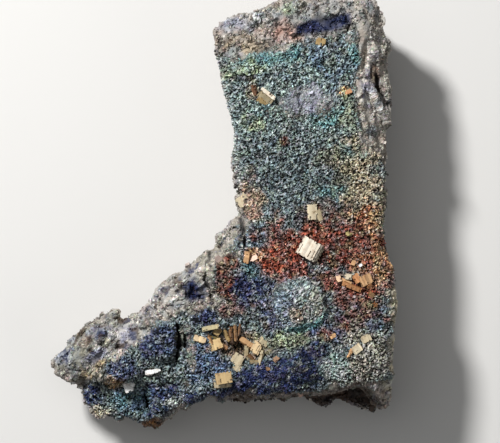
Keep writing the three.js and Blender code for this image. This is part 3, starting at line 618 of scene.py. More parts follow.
# Zones of colour, from the first to the last on top. Each is a mixture of two colours.
rockZones = {
    "top break": spot(7.5, 19.3, 9.5, 2.9, paint=("stone", "ash")),
    "pale quartz": spot(0.9, 18.9, 1.5, 1.0, paint=("quartz", "lavender")),
    "pink break": spot(5.8, 18.0, 1.9, 1.1, paint=("blush", "salmon"), strength=0.85),
    "sandy break": spot(2.2, 17.0, 2.2, 0.8, paint=("taupe", "sand"), strength=0.7),
    "green break": spot(6.6, 20.4, 1.8, 1.0, paint=("sage", "lichen"), strength=0.75),
    "navy stripe": area([(7.3, 17.9), (7.3, 18.9), (9.3, 19.6), (12.8, 20.1), (12.9, 18.9), (11.4, 18.4),
         (9.75, 18.0)], paint=("navy", "ink"), ragged=0.05),
    "shoulder": spot(15.4, 11.5, 1.9, 10.5, paint=("chalk", "taupe")),
    "shoulder plate": spot(16.1, 10.9, 0.8, 1.7, paint=("ash", "stone")),
    "shoulder vein": spot(14.7, 12.9, 0.7, 3.3, turn=-12, paint=("chalk", "lavender")),
    "shoulder pit": spot(15.4, 14.0, 0.5, 0.8, paint=("taupe", "umber")),
    "shoulder low": spot(14.9, 8.6, 0.9, 2.0, turn=-25, paint=("ash", "taupe")),
    "bare knob": spot(8.95, 11.3, 3.4, 1.7, paint=("ash", "lavender")),
    "left strip": spot(0.3, 8.0, 0.8, 8.0, turn=-5, paint=("ash", "pewter")),
    "instep": spot(-1.2, -4.6, 4.6, 3.6, turn=40, paint=("stone", "sallow")),
    "foot bridge": spot(-4.6, -8.4, 3.4, 2.2, turn=38, paint=("ash", "stone")),
    "vug": spot(-2.6, -8.0, 1.4, 1.45, paint=("navy", "indigo")),
    "vug rim": area([(-1.5, -6.6), (-0.7, -7.4), (-0.7, -9.4), (-1.8, -10.0), (-1.2, -8.6)],
         paint=("chalk", "stone"), ragged=0.2),
    "toe": spot(-12.8, -13.2, 5.2, 3.6, turn=30, paint=("ash", "sallow")),
    "toe pink": spot(-9.4, -13.0, 1.6, 1.0, turn=40, paint=("blush", "stone"), strength=0.8),
    "toe cream": spot(-12.6, -15.2, 2.6, 0.9, turn=35, paint=("sand", "sallow")),
    "toe blue": spot(-12.6, -14.2, 1.3, 0.6, turn=30, paint=("navy", "lavender"), strength=0.8),
    "toe top blue": spot(-12.2, -11.9, 1.3, 0.8, turn=15, paint=("dusk", "navy"), strength=0.9),
    "toe brown": spot(-13.6, -12.6, 0.8, 0.5, turn=30, paint=("umber", "taupe"), strength=0.8),
    "toe end blue": spot(-16.4, -14.2, 0.8, 0.8, paint=("dusk", "quartz"), strength=0.8),
    "toe lavender": spot(-9.7, -11.8, 1.3, 1.1, paint=("lavender", "chalk")),
    "foot rib": spot(-3.6, -12.4, 1.3, 2.6, paint=("sage", "blush")),
    # painted shade in the hollow under the overhanging sole
    "hollow under the sole": area([(1.0, -18.0), (7.8, -17.7), (11.3, -17.6), (13.4, -16.8),
         (14.4, -17.0), (15.4, -18.2), (15.4, -21), (1.0, -21)], paint=("shade", "umber")),
    "right rim": area([(15.7, -3.8), (17.6, -6.5), (17.6, -17.8), (16.2, -17.8), (16.3, -7.5)],
         paint=("chalk", "bone"), ragged=0.2),
    "spur": spot(-7.3, -21.2, 1.6, 0.8, paint=("umber", "ochre")),
}
footRock = spot(-8.0, -9.0, 13.0, 6.5, turn=38)  # where the bare rock's pockets are deepest

druseZones = {
    "upper leg": spot(7.0, 12.5, 9, 6.5, paint=("pewter", "slate")),
    "left strip": area([(-0.9, 16.5), (0.2, 16.3), (0.7, 12.2), (1.4, 9.0), (1.7, 6.0), (1.8, 2.5),
         (0.6, 2.5), (0.2, 12.4), (-0.9, 15.6)], paint=("ash", "mist"), strength=0.8),
    "teal band": spot(3.9, 15.6, 3.4, 0.9, turn=8, paint=("turquoise", "teal")),
    "olive grains": spot(2.2, 14.5, 2.4, 0.8, turn=8, paint=("lichen", "sage"), strength=0.9),
    "blue shoulder": spot(10.4, 15.0, 3.2, 2.4, paint=("steel", "slate"), strength=0.8),
    "teal shoulder": spot(13.3, 16.2, 0.8, 1.8, paint=("teal", "turquoise")),
    # painted shade along a short groove
    "dark line": spot(2.2, 13.6, 1.6, 0.3, paint=("shade", "storm")),
    "teal under the knob": spot(10.4, 9.7, 1.7, 1.0, paint=("teal", "turquoise")),
    "green under the knob": spot(12.5, 10.2, 1.0, 1.8, paint=("sage", "olive"), strength=0.7),
    "teal left of the knob": spot(4.2, 10.2, 1.3, 0.9, paint=("seafoam", "teal"), strength=0.7),
    "olive left of the knob": spot(3.3, 9.0, 1.6, 0.9, paint=("lichen", "slate"), strength=0.7),
    "brown knob edge": spot(3.0, 12.2, 0.8, 1.0, paint=("umber", "tan"), strength=0.7),
    "brown leaf edge": spot(6.2, 7.2, 0.5, 0.5, paint=("umber", "maroon")),
    "amber spot": spot(12.2, 12.2, 0.8, 0.6, paint=("orange", "lichen")),
    "turquoise high": spot(13.4, 6.1, 1.9, 1.4, paint=("turquoise", "sage"), strength=0.8),
    "olive high": spot(10.8, 5.4, 1.6, 1.3, paint=("olive", "umber"), strength=0.6),
    "turquoise low": spot(11.6, 2.2, 1.9, 0.9, paint=("turquoise", "teal"), strength=0.75),
    "blue middle": spot(6.6, 2.0, 2.9, 4.4, paint=("slate", "storm")),
    "pink side": spot(2.9, 1.3, 1.2, 2.4, paint=("tan", "salmon"), strength=0.85),
    "golden side": spot(14.4, 2.4, 2.2, 4.6, paint=("tan", "sand"), strength=0.85),
    "golden fringe": spot(12.3, 4.5, 1.5, 2.5, paint=("tan", "olive"), strength=0.5),
    "blue ankle": spot(2.9, -2.2, 1.6, 1.4, paint=("steel", "storm"), strength=0.7),
    "orange side": spot(14.6, -4.4, 2.4, 5.0, paint=("ochre", "rust"), strength=0.9),
    "maroon": spot(10.9, -2.6, 3.4, 3.2, paint=("maroon", "brick")),
    "maroon fringe": spot(11.0, 0.2, 2.8, 1.4, paint=("maroon", "umber"), strength=0.55),
    "rust": spot(6.0, -4.3, 2.6, 3.2, paint=("rust", "brick")),
    "rust high": spot(8.0, -1.9, 3.0, 0.8, turn=8, paint=("rust", "maroon")),
    "rust below the book": spot(10.6, -6.7, 2.4, 1.2, paint=("brick", "rust"), strength=0.8),
    "dark rust": spot(13.4, -8.3, 2.2, 1.4, paint=("maroon", "brick"), strength=0.9),
    "green grains": spot(14.3, -9.2, 0.8, 0.5, paint=("moss", "olive")),
    "dusky grains": spot(12.8, -10.8, 3.6, 1.8, paint=("dusk", "umber")),
    "red brown": spot(0.5, -6.9, 1.5, 1.9, paint=("brick", "maroon")),
    "blue heel": spot(14.6, -11.4, 1.2, 0.8, paint=("teal", "dusk"), strength=0.6),
    "red heel": spot(13.0, -10.2, 1.6, 1.2, turn=40, paint=("brick", "maroon"), strength=0.7),
    "orange heel": spot(10.3, -12.1, 0.9, 0.8, paint=("umber", "brick"), strength=0.8),
    "brown above the hollow": spot(0.6, -9.6, 1.6, 0.9, paint=("umber", "brick"), strength=0.7),
    "rusty knob": spot(0.3, -4.7, 1.2, 0.9, paint=("brick", "umber")),
    "pink ankle": spot(3.2, -4.1, 1.0, 0.7, paint=("ochre", "salmon")),
    "navy centre": spot(3.2, -7.3, 1.8, 1.6, paint=("navy", "indigo")),
    "teal centre": spot(2.9, -5.4, 1.3, 0.8, paint=("teal", "dusk"), strength=0.7),
    "olive zone": spot(7.0, -12.4, 2.9, 1.1, paint=("olive", "lichen"), strength=0.7),
    "disc border": spot(7.5, -8.8, 3.2, 2.9, paint=("umber", "dusk")),
    "disc": area(discOutline, paint=("mist", "slate"), ragged=0.15),
    "disc rim": area([(5.9, -11.3), (7.2, -11.0), (8.6, -10.7), (9.7, -9.9), (10.5, -9.9), (10.0, -11.0),
         (8.2, -11.6), (6.3, -11.8)], paint=("turquoise", "turquoise"), ragged=0.1),
    "disc blue": spot(6.2, -9.0, 1.0, 1.9, paint=("steel", "dusk"), strength=0.7),
    "disc olive": spot(9.3, -9.0, 0.6, 1.6, turn=15, paint=("sand", "sage"), strength=0.5),
    "disc spot": spot(7.5, -9.4, 0.9, 0.8, paint=("umber", "ochre"), strength=0.8),
    "indigo crust": area([(1.1, -15.7), (4.3, -14.6), (6.7, -14.3), (8.3, -13.0), (9.5, -12.4),
         (11.2, -13.2), (10.8, -15.1), (9.4, -16.8), (7.8, -17.6), (5.1, -18.1), (3.1, -17.8),
         (1.1, -17.8)], paint=("indigo", "navy"), ragged=0.3),
    "indigo gloss": spot(8.8, -14.9, 1.9, 2.3, turn=-20, paint=("ink", "indigo"), strength=0.7),
    "pale corner": spot(14.2, -14.9, 2.6, 2.8, paint=("stone", "sallow")),
    "pale ridge": spot(11.2, -15.4, 1.3, 2.1, paint=("mist", "seafoam"), strength=0.85),
    "teal toe side": spot(-1.5, -14.7, 1.9, 1.8, paint=("steel", "dusk")),
    "navy instep": spot(-1.9, -10.3, 1.7, 0.9, paint=("indigo", "dusk")),
    "golden hollow": spot(1.2, -13.2, 3.0, 1.4, paint=("umber", "ochre"), strength=0.7),
    "upper block": area([(-7.3, -11.6), (-5.2, -10.4), (-4.9, -13.8), (-8.2, -13.9), (-8.3, -12.8)],
         paint=("navy", "dusk")),
    "lower block": spot(-10.2, -15.2, 2.1, 1.5, paint=("dusk", "navy")),
    "toe navy": spot(-13.1, -18.1, 1.1, 1.3, paint=("navy", "indigo")),
    "toe teal": spot(-9.2, -18.7, 2.4, 1.6, paint=("steel", "teal")),
    "toe brown": spot(-11.1, -16.8, 0.9, 0.6, paint=("ochre", "tan")),
    "toe yellow": spot(-12.5, -20.1, 1.3, 0.7, paint=("bone", "sand")),
    "sole navy": area([(-7.3, -17.0), (-4.4, -16.8), (-3.8, -17.6), (1.1, -16.9), (1.2, -18.6),
         (-2.6, -18.8), (-4.6, -20.2), (-7.3, -20.2)], paint=("indigo", "navy")),
    "pale crystals": spot(-4.7, -18.9, 1.0, 0.7, turn=25, paint=("mist", "chalk"), strength=0.85),
}


tintMix = {
    "zoneSize": 0.7, "zoneContrast": 0.8,  # of the two colours of a zone
    "baseSize": 1.6, "baseContrast": 0.9,  # of the two colours under the zones
    "straySize": 0.55, "strays": 0.5,
    "blueSize": 1.3,  # of the bluer parts among the rock's dark pockets
    # painted shade in the bare rock's pockets, and painted highlight on its crests
    "pocket": 0.85, "crest": 0.28,
}


def paintOver(points, zones, tints, seed):
    for number, zone in enumerate(zones.values()):
        if "outline" in zone:
            corners = np.array(zone["outline"])
            isPast = points[:, :2] > corners.min(axis=0) - 1
            isShort = points[:, :2] < corners.max(axis=0) + 1
            isNear = np.all(isPast & isShort, axis=1)
        else:
            isNear = reachIn(points, zone) < 1.9
        near = points[isNear]
        first, second = (palette[name] for name in zone["paint"])
        mix = 0.5 + tintMix["zoneContrast"] * layeredNoise(near, tintMix["zoneSize"], 3, seed + number)
        painted = first + (second - first) * np.clip(mix, 0, 1)[:, None]
        tints[isNear] += (painted - tints[isNear]) * reachOfZone(near, zone, seed + number)[:, None]
    return tints


# Small patches of other colours.
def mottled(points, tints, strays, strength, seed):
    for number, stray in enumerate(strays):
        patch = ease(0.15, 0.6, layeredNoise(points, tintMix["straySize"], 2, seed + 10 * number))
        tints = tints + (palette[stray] - tints) * (strength * patch)[:, None]
    return tints


def mixedBase(points, first, second, seed):
    mix = 0.5 + tintMix["baseContrast"] * layeredNoise(points, tintMix["baseSize"], 3, seed)
    return palette[first] + (palette[second] - palette[first]) * np.clip(mix, 0, 1)[:, None]


# How far a point of the bare rock lies in one of its pockets, and on one of its pale crests.
def pockets(points):
    patch = layeredNoise(points, rockShape["pocket"], 3, 61)
    return ease(0.12, 0.55, patch), ease(0.25, 0.75, -patch)


def onFootRock(points):
    return ease(1.2, 0.8, reachIn(points, footRock))


def bareTint(points, lastStray):
    base = mixedBase(points, "stone", "taupe", 5)
    return mottled(points, base, ("sage", "lavender", "blush", lastStray), tintMix["strays"], 800)


def wallTint(points):
    return bareTint(points, "umber")


def rockTint(points):
    tints = paintOver(points, rockZones, bareTint(points, "chalk"), 500)
    reach = onFootRock(points)
    pocket, crest = (part * (0.25 + 0.75 * reach) for part in pockets(points))
    # Painted shade in the pockets, brown to navy, and painted highlight on the crests.
    blueness = ease(-0.1, 0.35, layeredNoise(points, tintMix["blueSize"], 2, 62))[:, None]
    dark = palette["umber"] * 0.5 + (palette["navy"] * 0.8 - palette["umber"] * 0.5) * blueness
    tints = tints + (dark - tints) * tintMix["pocket"] * pocket[:, None]
    return tints + (palette["chalk"] - tints) * tintMix["crest"] * crest[:, None]


def druseTint(points):
    tints = paintOver(points, druseZones, mixedBase(points, "slate", "storm", 6), 300)
    return mottled(points, tints, ("lichen", "storm", "umber", "teal"), 0.18, 900)


# Where the bare rock is smoother.
smoothSpots = {
    "shoulder": spot(15.2, 10.0, 1.9, 10.0, strength=0.85),
    "toe": spot(-12.5, -13.4, 5.5, 3.6, turn=30, strength=0.6),
    "instep": spot(-3.6, -6.6, 5.5, 3.0, turn=40, strength=0.6),
    "bare knob": spot(8.95, 11.3, 3.4, 1.7, strength=0.7),
}


smoothing = 0.4  # how little a smooth spot flattens the larger forms


# 1 where the bare rock is roughest.
def roughness(points):
    rough = np.ones(len(points))
    for number, smooth in enumerate(smoothSpots.values()):
        rough -= rough * reachOfZone(points, smooth, 680 + number)
    return rough


crackEdge = {"wander": 0.12, "wanderSize": 0.5, "shade": 0.95}


# How deep the cracks and hollows are at each point, and how much light is left in them.
def crackDepths(points):
    depth = np.zeros(len(points))
    light = np.ones(len(points))
    wander = crackEdge["wander"] * softNoise(flat(points), crackEdge["wanderSize"], 9)
    for crack in cracks.values():
        near = ease(crack["width"], 0, np.abs(distanceToLine(points, crack["line"]) + wander))
        depth += crack["depth"] * near
        if crack["depth"] > 0:
            light *= 1 - crackEdge["shade"] * near
    return depth, light


def hollowDepths(points):
    depth = np.zeros(len(points))
    light = np.ones(len(points))
    for number, hollow in enumerate(hollows.values()):
        near = reachOfZone(points, hollow, 600 + number)
        depth += hollow["depth"] * near
        light *= 1 - hollow["shade"] * near
    return depth, light


def makeRock():
    points, faces = voxelRock()
    print("rock cells:", len(faces))
    top = HeightMap(points, faces, rockShape["mapStep"])
    top.clipPeaks(rockShape["grainReach"])
    top.fillEdge()
    points[:, 2] = np.minimum(points[:, 2], top.at(points))
    normals = pointNormals(points, faces)
    isFront = ease(*rockShape["frontSlope"], normals[:, 2])
    isFront = isFront * (points[:, 2] > top.at(points) - rockShape["frontDepth"])
    cover = druseCover(points) * isFront
    shift = np.zeros(len(points))
    for size, height in rockShape["wallChips"]:
        shift += height * chipNoise(points, size, int(size * 10))[0] * (1 - isFront)
    rough = roughness(points)
    for size, height in rockShape["faceChips"]:
        level = chipNoise(points, size, int(size * 10) + 50)[0]
        shift += height * level * isFront * (1 - cover) * rough ** smoothing
    pocket, crest = pockets(points)
    reach = (0.4 + 0.6 * onFootRock(points)) * rough ** smoothing
    shift += rockShape["pocketDepth"] * (0.5 * crest - pocket) * reach * (1 - cover)
    shift += rockShape["druseLumps"] * layeredNoise(points, 0.9, 2, 31) * cover
    points = points + normals * shift[:, None]
    crackDepth, crackLight = crackDepths(points)
    hollowDepth, hollowLight = hollowDepths(points)
    points[:, 2] -= isFront * (crackDepth + hollowDepth)
    points[:, 2] = np.maximum(points[:, 2], 0)
    isFace = ease(*rockShape["faceSlope"], normals[:, 2])
    isFace = isFace * (points[:, 2] > top.at(points) - rockShape["faceDepth"])
    tint = wallTint(points)
    tint += (rockTint(points) - tint) * isFace[:, None]
    # Painted shade in the cracks and hollows, and under the druse, where the rock is dark between the
    # crystals.
    light = 1 - isFace * (1 - crackLight * hollowLight)
    tint *= rockShape["wallBoost"] * (light * (1 - 0.9 * cover))[:, None]
    tints = np.column_stack([tint, np.ones(len(points))])
    makePiece("quartz_matrix", points, faces, looks["rock"], "rock", tints[faces.ravel()], ["matrix_rock"])
    return points, faces, isFront


# The upward face again as a finer sheet over the rock, with the small relief and the colours.
crustShape = {
    "step": 0.08, "lift": 0.06,
    "steepest": 0.2, "slopeReach": 0.16, "lowest": 1.5,  # where the sheet stops on a wall
    "edgeDip": 0.3, "edgeCells": 4,  # how its edge turns down into the rock
    "ridge": 0.19, "ridgeHeight": 0.26, "ridgePitShade": 0.03,  # spacing and height of the ridges, and the painted shade in the pits between them
    "fineRidge": 0.15, "fineFloor": 0.22,  # spacing where it is finer, and how shallow the pits are there
    "sheen": 0.35, "sheenSize": 0.3,  # painted sheen in small pale patches
    "crestSheen": 0.15,  # painted sheen: how much paler and greyer the crests are
    # Size, height and tone of the chips of the bare rock.
    "chips": ((1.7, 0.12, 0.4), (0.95, 0.18, 0.3), (0.45, 0.14, 0.2), (0.22, 0.12, 0.3)),
    "chipEdgeShade": 0.35,  # painted shade: how dark the lines between chips are
    "rockPit": 0.27, "rockPitDepth": 0.2, "rockPitShade": 0.2, "rockPitBlue": 0.45,  # small pits, with painted shade and a blue tint in them
    "lines": 0.18, "linesTone": 0.35, "linesSize": 0.5, "linesStretch": 5,  # fine streaks
    "toneSpread": 0.5, "hueSpread": 0.07, "crackDepth": 0.4,
    "druseBoost": 2.15, "rockBoost": 1.12, "brightest": 0.9,
}

# Where the crust stands higher.
raisedSpots = {
    "disc": area(discOutline, height=0.45),
}

# Where the druse's ridges are finer.
fineSpots = {
    "disc": spot(7.5, -8.9, 2.6, 2.6, ragged=0.2),
    "indigo crust": spot(6.4, -15.4, 4.8, 2.1, turn=6, strength=0.6),
    "pink side": spot(2.9, 1.3, 1.2, 2.4, strength=0.4),
    "teal band": spot(3.9, 15.6, 3.4, 0.9, turn=8, strength=0.5),
}

# Where fine streaks run across the rock, and their bearing.
grainLines = {
    "toe": spot(-12.5, -13.4, 5.5, 3.6, turn=38),
    "instep": spot(-4.0, -6.6, 4.5, 3.0, turn=40),
    "shoulder": spot(15.2, 10.0, 9.0, 2.0, turn=97),
}

# Pieces of the crust, with the lowest and highest y of each.
crustBands = (("leg", 3.5, 23), ("ankle", -8.0, 3.5), ("foot", -23, -8.0))


# Winding ridges, from 0 in a pit between them to 1 on top.
def windingRidges(points, size, seed):
    skewed = points @ np.array([[0.8, 0.6, 0], [-0.6, 0.8, 0], [0, 0, 1]]) + 3.1
    wave = softNoise(skewed, size, seed) + 0.45 * softNoise(points, size * 0.45, seed + 1)
    return ease(0.15, 0.85, 1 - 1.5 * np.abs(wave))


# Fine streaks along a bearing, in the zones that have them.
def streaks(points):
    total = np.zeros(len(points))
    for number, zone in enumerate(grainLines.values()):
        turn = math.radians(zone["turn"])
        along = points[:, 0] * math.cos(turn) + points[:, 1] * math.sin(turn)
        across = points[:, 1] * math.cos(turn) - points[:, 0] * math.sin(turn)
        stretched = np.column_stack([along / crustShape["linesStretch"], across, np.zeros(len(points))])
        fine = layeredNoise(stretched, crustShape["linesSize"], 2, 700 + number)
        total += fine * ease(1.2, 0.7, reachIn(points, zone))
    return total


# An even grid of quads over the face, which stops where the rock turns into a wall.
class CrustGrid:
    def __init__(self, surface):
        step = crustShape["step"]
        rows, columns = (np.array(surface.heights.shape) * surface.step / step).astype(int)
        gridX, gridY = np.meshgrid(surface.low[0] + np.arange(columns) * step,
                                   surface.low[1] + np.arange(rows) * step)
        points = np.column_stack([gridX.ravel(), gridY.ravel(), np.zeros(gridX.size)])
        points[:, :2] += dice.uniform(-0.3, 0.3, (len(points), 2)) * step
        points[:, 2] = surface.at(points)
        normals = surface.normals(points, crustShape["slopeReach"])
        isSolid = (points[:, 2] > crustShape["lowest"]) & (surface.solidAt(points) > 0.99)
        isFace = (normals[:, 2] > crustShape["steepest"]) & isSolid
        depth = np.zeros((rows, columns))
        layer = isFace.reshape(rows, columns)
        for _ in range(crustShape["edgeCells"]):
            depth += layer
            padded = np.pad(layer, 1)
            layer = layer & padded[:-2, 1:-1] & padded[2:, 1:-1] & padded[1:-1, :-2] & padded[1:-1, 2:]
        corner = np.arange(rows * columns).reshape(rows, columns)
        quads = np.stack([corner[:-1, :-1], corner[:-1, 1:], corner[1:, 1:], corner[1:, :-1]], axis=-1)
        quads = quads.reshape(-1, 4)
        self.quads = quads[isFace[quads].all(axis=1)]
        used = np.unique(self.quads)
        place = np.zeros(rows * columns, int)
        place[used] = np.arange(len(used))
        self.quads = place[self.quads]
        self.points = points[used]
        self.normals = normals[used]
        self.inner = (depth.ravel()[used] - 1) / (crustShape["edgeCells"] - 1)


def makeCrust(surface):
    crust = CrustGrid(surface)
    points = crust.points
    cover = druseCover(points)
    ridge = windingRidges(points, crustShape["ridge"], 40)
    fine = windingRidges(points, crustShape["fineRidge"], 44)
    fine = crustShape["fineFloor"] + (1 - crustShape["fineFloor"]) * fine
    for number, zone in enumerate(fineSpots.values()):
        ridge += (fine - ridge) * reachOfZone(points, zone, 640 + number)
    shift = crustShape["lift"] + crustShape["ridgeHeight"] * ridge * cover
    for number, zone in enumerate(raisedSpots.values()):
        ragged = 0.12 * layeredNoise(flat(points), 0.8, 3, 90 + number)
        shift += zone["height"] * ease(-0.1, 0.1, depthInside(points, zone["outline"]) + ragged)
    shade = np.exp(dice.normal(0, crustShape["toneSpread"], len(points)))
    crackDepth, crackLight = crackDepths(points)
    shift -= crustShape["crackDepth"] * crackDepth
    shade *= crackLight * hollowDepths(points)[1]
    # Painted shade in the pits between the ridges.
    druseTone = (crustShape["ridgePitShade"] + (1 - crustShape["ridgePitShade"]) * ridge ** 1.5) * shade
    rough = roughness(points)
    pit = rough ** smoothing * ease(0.3, 0.65, layeredNoise(points, crustShape["rockPit"], 2, 55))
    shift -= crustShape["rockPitDepth"] * pit * (1 - cover)
    # Painted shade in the small pits.
    rockTone = (1 - (1 - crustShape["rockPitShade"]) * pit) * shade
    for size, height, tone in crustShape["chips"]:
        level, edge = chipNoise(points, size, int(size * 100))
        part = rough ** (0.7 / (0.3 + size))
        shift += height * level * (1 - cover) * part
        rockTone *= np.exp(tone * level * part)
        rockTone *= 1 - crustShape["chipEdgeShade"] * ease(0.16, 0, edge) * part
    lines = streaks(points)
    shift += crustShape["lines"] * lines * (1 - cover)
    rockTone *= np.exp(crustShape["linesTone"] * lines)
    # Painted sheen in small pale patches.
    sheen = crustShape["sheen"] * ease(0.1, 0.8, softNoise(points, crustShape["sheenSize"], 41))
    druse = druseTint(points)
    druse += (palette["mist"] - druse) * sheen[:, None]
    # Painted sheen on the ridge crests, paler and greyer.
    grey = druse.mean(axis=1, keepdims=True) * 1.2
    druse += (grey - druse) * (crustShape["crestSheen"] * ridge ** 3)[:, None]
    druse *= (crustShape["druseBoost"] * druseTone)[:, None]
    rock = rockTint(points)
    rock += (palette["navy"] - rock) * (crustShape["rockPitBlue"] * pit * onFootRock(points))[:, None]
    rock *= (crustShape["rockBoost"] * rockTone)[:, None]
    tints = rock + (druse - rock) * cover[:, None]
    tints *= np.exp(dice.normal(0, crustShape["hueSpread"], tints.shape))
    tints = np.column_stack([np.clip(tints, 0, crustShape["brightest"]), np.ones(len(points))])
    crust.points = points + crust.normals * shift[:, None]
    crust.points[:, 2] -= crustShape["edgeDip"] * (1 - crust.inner)
    middle = crust.points[crust.quads].mean(axis=1)[:, 1]
    for band, low, high in crustBands:
        quads = crust.quads[(middle >= low) & (middle < high)]
        used, corners = np.unique(quads, return_inverse=True)
        corners = corners.reshape(-1, 4)
        makePiece(f"crust_{band}", crust.points[used], corners, looks["crust"], "rock",
                  tints[used][corners.ravel()])
        print("crust", band, "cells:", len(quads))
    return crust, cover


# Single crystals as small closed shapes of triangles, about 1 across, standing on z = 0.
def pointedCrystal(count, rim, tip):
    turns = np.arange(count) * 2 * math.pi / count + dice.uniform(-0.3, 0.3, count)
    radius = 0.52
    heights = rim + dice.uniform(-0.15, 0.15, count)
    ring = np.column_stack([radius * np.cos(turns), radius * np.sin(turns), heights])
    ends = [[dice.uniform(-0.15, 0.15), dice.uniform(-0.15, 0.15), tip], [0, 0, -0.5]]
    sides = [(k, (k + 1) % count, count) for k in range(count)]
    sides += [((k + 1) % count, k, count + 1) for k in range(count)]
    return np.vstack([ring, ends]), np.array(sides)


def blockCrystal():
    square = ((-1, -1), (1, -1), (1, 1), (-1, 1))
    corners = np.array([[x, y, z] for z in (-0.4, 0.42) for x, y in square], float)
    corners[:, :2] *= 0.38
    corners += dice.uniform(-0.08, 0.08, corners.shape)
    sides = [(0, 1, 5), (0, 5, 4), (1, 2, 6), (1, 6, 5), (2, 3, 7), (2, 7, 6), (3, 0, 4), (3, 4, 7),
             (4, 5, 6), (4, 6, 7), (0, 2, 1), (0, 3, 2)]
    return corners, np.array(sides)


crystalShapes = [pointedCrystal(4, 0.05, 0.42), pointedCrystal(5, 0.1, 0.4),
                 pointedCrystal(5, 0.15, 0.45), pointedCrystal(4, 0.1, 0.5),
                 blockCrystal(), blockCrystal(), blockCrystal(), blockCrystal()]
footShadeTone = 0.2  # painted shade: how dark a crystal is at its foot


# Turning matrices that stand things on a surface, each spun and leant by chance.
def leaningTurns(normals, leanDegrees):
    count = len(normals)
    lean = dice.normal(0, math.tan(math.radians(leanDegrees)), (count, 3))
    up = normals + lean
    up /= np.linalg.norm(up, axis=1, keepdims=True)
    side = np.cross(up, dice.normal(0, 1, (count, 3)))
    side /= np.linalg.norm(side, axis=1, keepdims=True)
    return np.stack([side, np.cross(up, side), up], axis=2)


# Many crystals joined in one mesh, each with painted shade towards its foot.
def crystalBed(name, places, normals, sizes, tints, lean, facetTone):
    kinds = dice.integers(0, len(crystalShapes), len(places))
    turns = leaningTurns(normals, lean)
    allPoints, allFaces, allTints, start = [], [], [], 0
    for kind, (shape, sides) in enumerate(crystalShapes):
        picked = np.flatnonzero(kinds == kind)
        stretch = dice.uniform(0.75, 1.3, (len(picked), 1, 3)) * sizes[picked, None, None]
        local = shape[None] * stretch
        points = np.einsum("nij,nkj->nki", turns[picked], local) + places[picked, None]
        faces = sides[None] + np.arange(len(picked))[:, None, None] * len(shape) + start
        tone = np.exp(dice.normal(0, facetTone, (len(picked), len(sides), 1, 1)))
        corner = np.repeat(tints[picked, None, None, :], len(sides), axis=1).repeat(3, axis=2)
        fromBase = ease(-0.45, 0.4, shape[sides][..., 2])[None, :, :, None]
        corner[..., :3] *= tone * (footShadeTone + (1 - footShadeTone) * fromBase)
        allPoints.append(points.reshape(-1, 3))
        allFaces.append(faces.reshape(-1, 3))
        allTints.append(corner.reshape(-1, 4))
        start += points.shape[0] * points.shape[1]
    makePiece(name, np.vstack(allPoints), np.vstack(allFaces), looks["druse"], "rock", np.vstack(allTints))


# The druse and the loose grit of the bare rock.
druseShape = {
    "size": 0.14, "sizeSpread": 0.25, "sink": 0.02, "sinkSpread": 0.05, "lean": 32,
    "boost": 1.7, "toneSpread": 0.35, "hueSpread": 0.04, "facetTone": 0.45,
    "glints": 0.025, "sheen": 0.05, "darks": 0.08, "perCell": 0.2,
}
gritShape = {
    "size": 0.17, "sizeSpread": 0.4, "sink": 0.05, "sinkSpread": 0.04, "lean": 35,
    "boost": 1.2, "toneSpread": 0.25, "hueSpread": 0.03, "facetTone": 0.25,
    "glints": 0.03, "sheen": 0.15, "darks": 0.08, "perCell": 0.04,
    "perWallCell": 0.3, "wornHeight": 0.6, "clearOfFloor": 2.5,
}
grainTone = {"sheen": 1.5, "mostSheen": 0.7, "glint": 0.9, "underGlint": 0.4, "dark": 0.22, "brightest": 0.9}

# Where the crystals are smaller or larger.
grainScales = {
    "indigo crust": spot(6.4, -15.6, 5.2, 2.1, turn=6, scale=0.8),
    "disc": spot(7.4, -8.7, 2.7, 2.5, scale=0.75),
    "rust": spot(5.9, -4.2, 2.5, 3.3, scale=1.15),
    "right side": spot(13.5, -1.0, 3.0, 8.0, scale=1.15),
}


# A place and a way up for one grain on each chosen cell of the rock.
def sowOn(points, faces, chosen, shape):
    faces = faces[chosen]
    u, v = dice.uniform(-0.1, 1.1, (2, len(faces), 1))
    corners = [points[faces[:, k]] for k in range(4)]
    near = corners[0] * (1 - u) + corners[1] * u
    far = corners[3] * (1 - u) + corners[2] * u
    places = near * (1 - v) + far * v
    normals = quadNormals(points, faces)
    normals /= np.maximum(np.linalg.norm(normals, axis=1, keepdims=True), 1e-9)
    sizes = shape["size"] * np.exp(dice.normal(0, shape["sizeSpread"], len(faces)))
    for number, zone in enumerate(grainScales.values()):
        sizes *= 1 + (zone["scale"] - 1) * reachOfZone(places, zone, 400 + number)
    sink = shape["sink"] + np.abs(dice.normal(0, shape["sinkSpread"], (len(faces), 1)))
    return places - normals * sink, normals, sizes


# Each crystal's colour, with painted sheen and glints, and its gloss as the fourth value.
def grainTints(tints, shape):
    count = len(tints)
    tones = dice.normal(0, shape["toneSpread"], (count, 1)) + dice.normal(0, shape["hueSpread"], (count, 3))
    tints = tints * shape["boost"] * np.exp(tones)
    sheen = dice.normal(-0.05, shape["sheen"], (count, 1))  # painted sheen, pale on some of them
    tints = tints + (palette["mist"] * grainTone["sheen"] - tints) * np.clip(sheen, 0, grainTone["mostSheen"])
    throw = dice.random(count)
    glint = tints * grainTone["underGlint"] + palette["chalk"] * grainTone["glint"]
    tints = np.where((throw < shape["glints"])[:, None], glint, tints)
    tints = np.where((throw > 1 - shape["darks"])[:, None], tints * grainTone["dark"], tints)
    return np.column_stack([np.clip(tints, 0, grainTone["brightest"]), dice.random(count)])


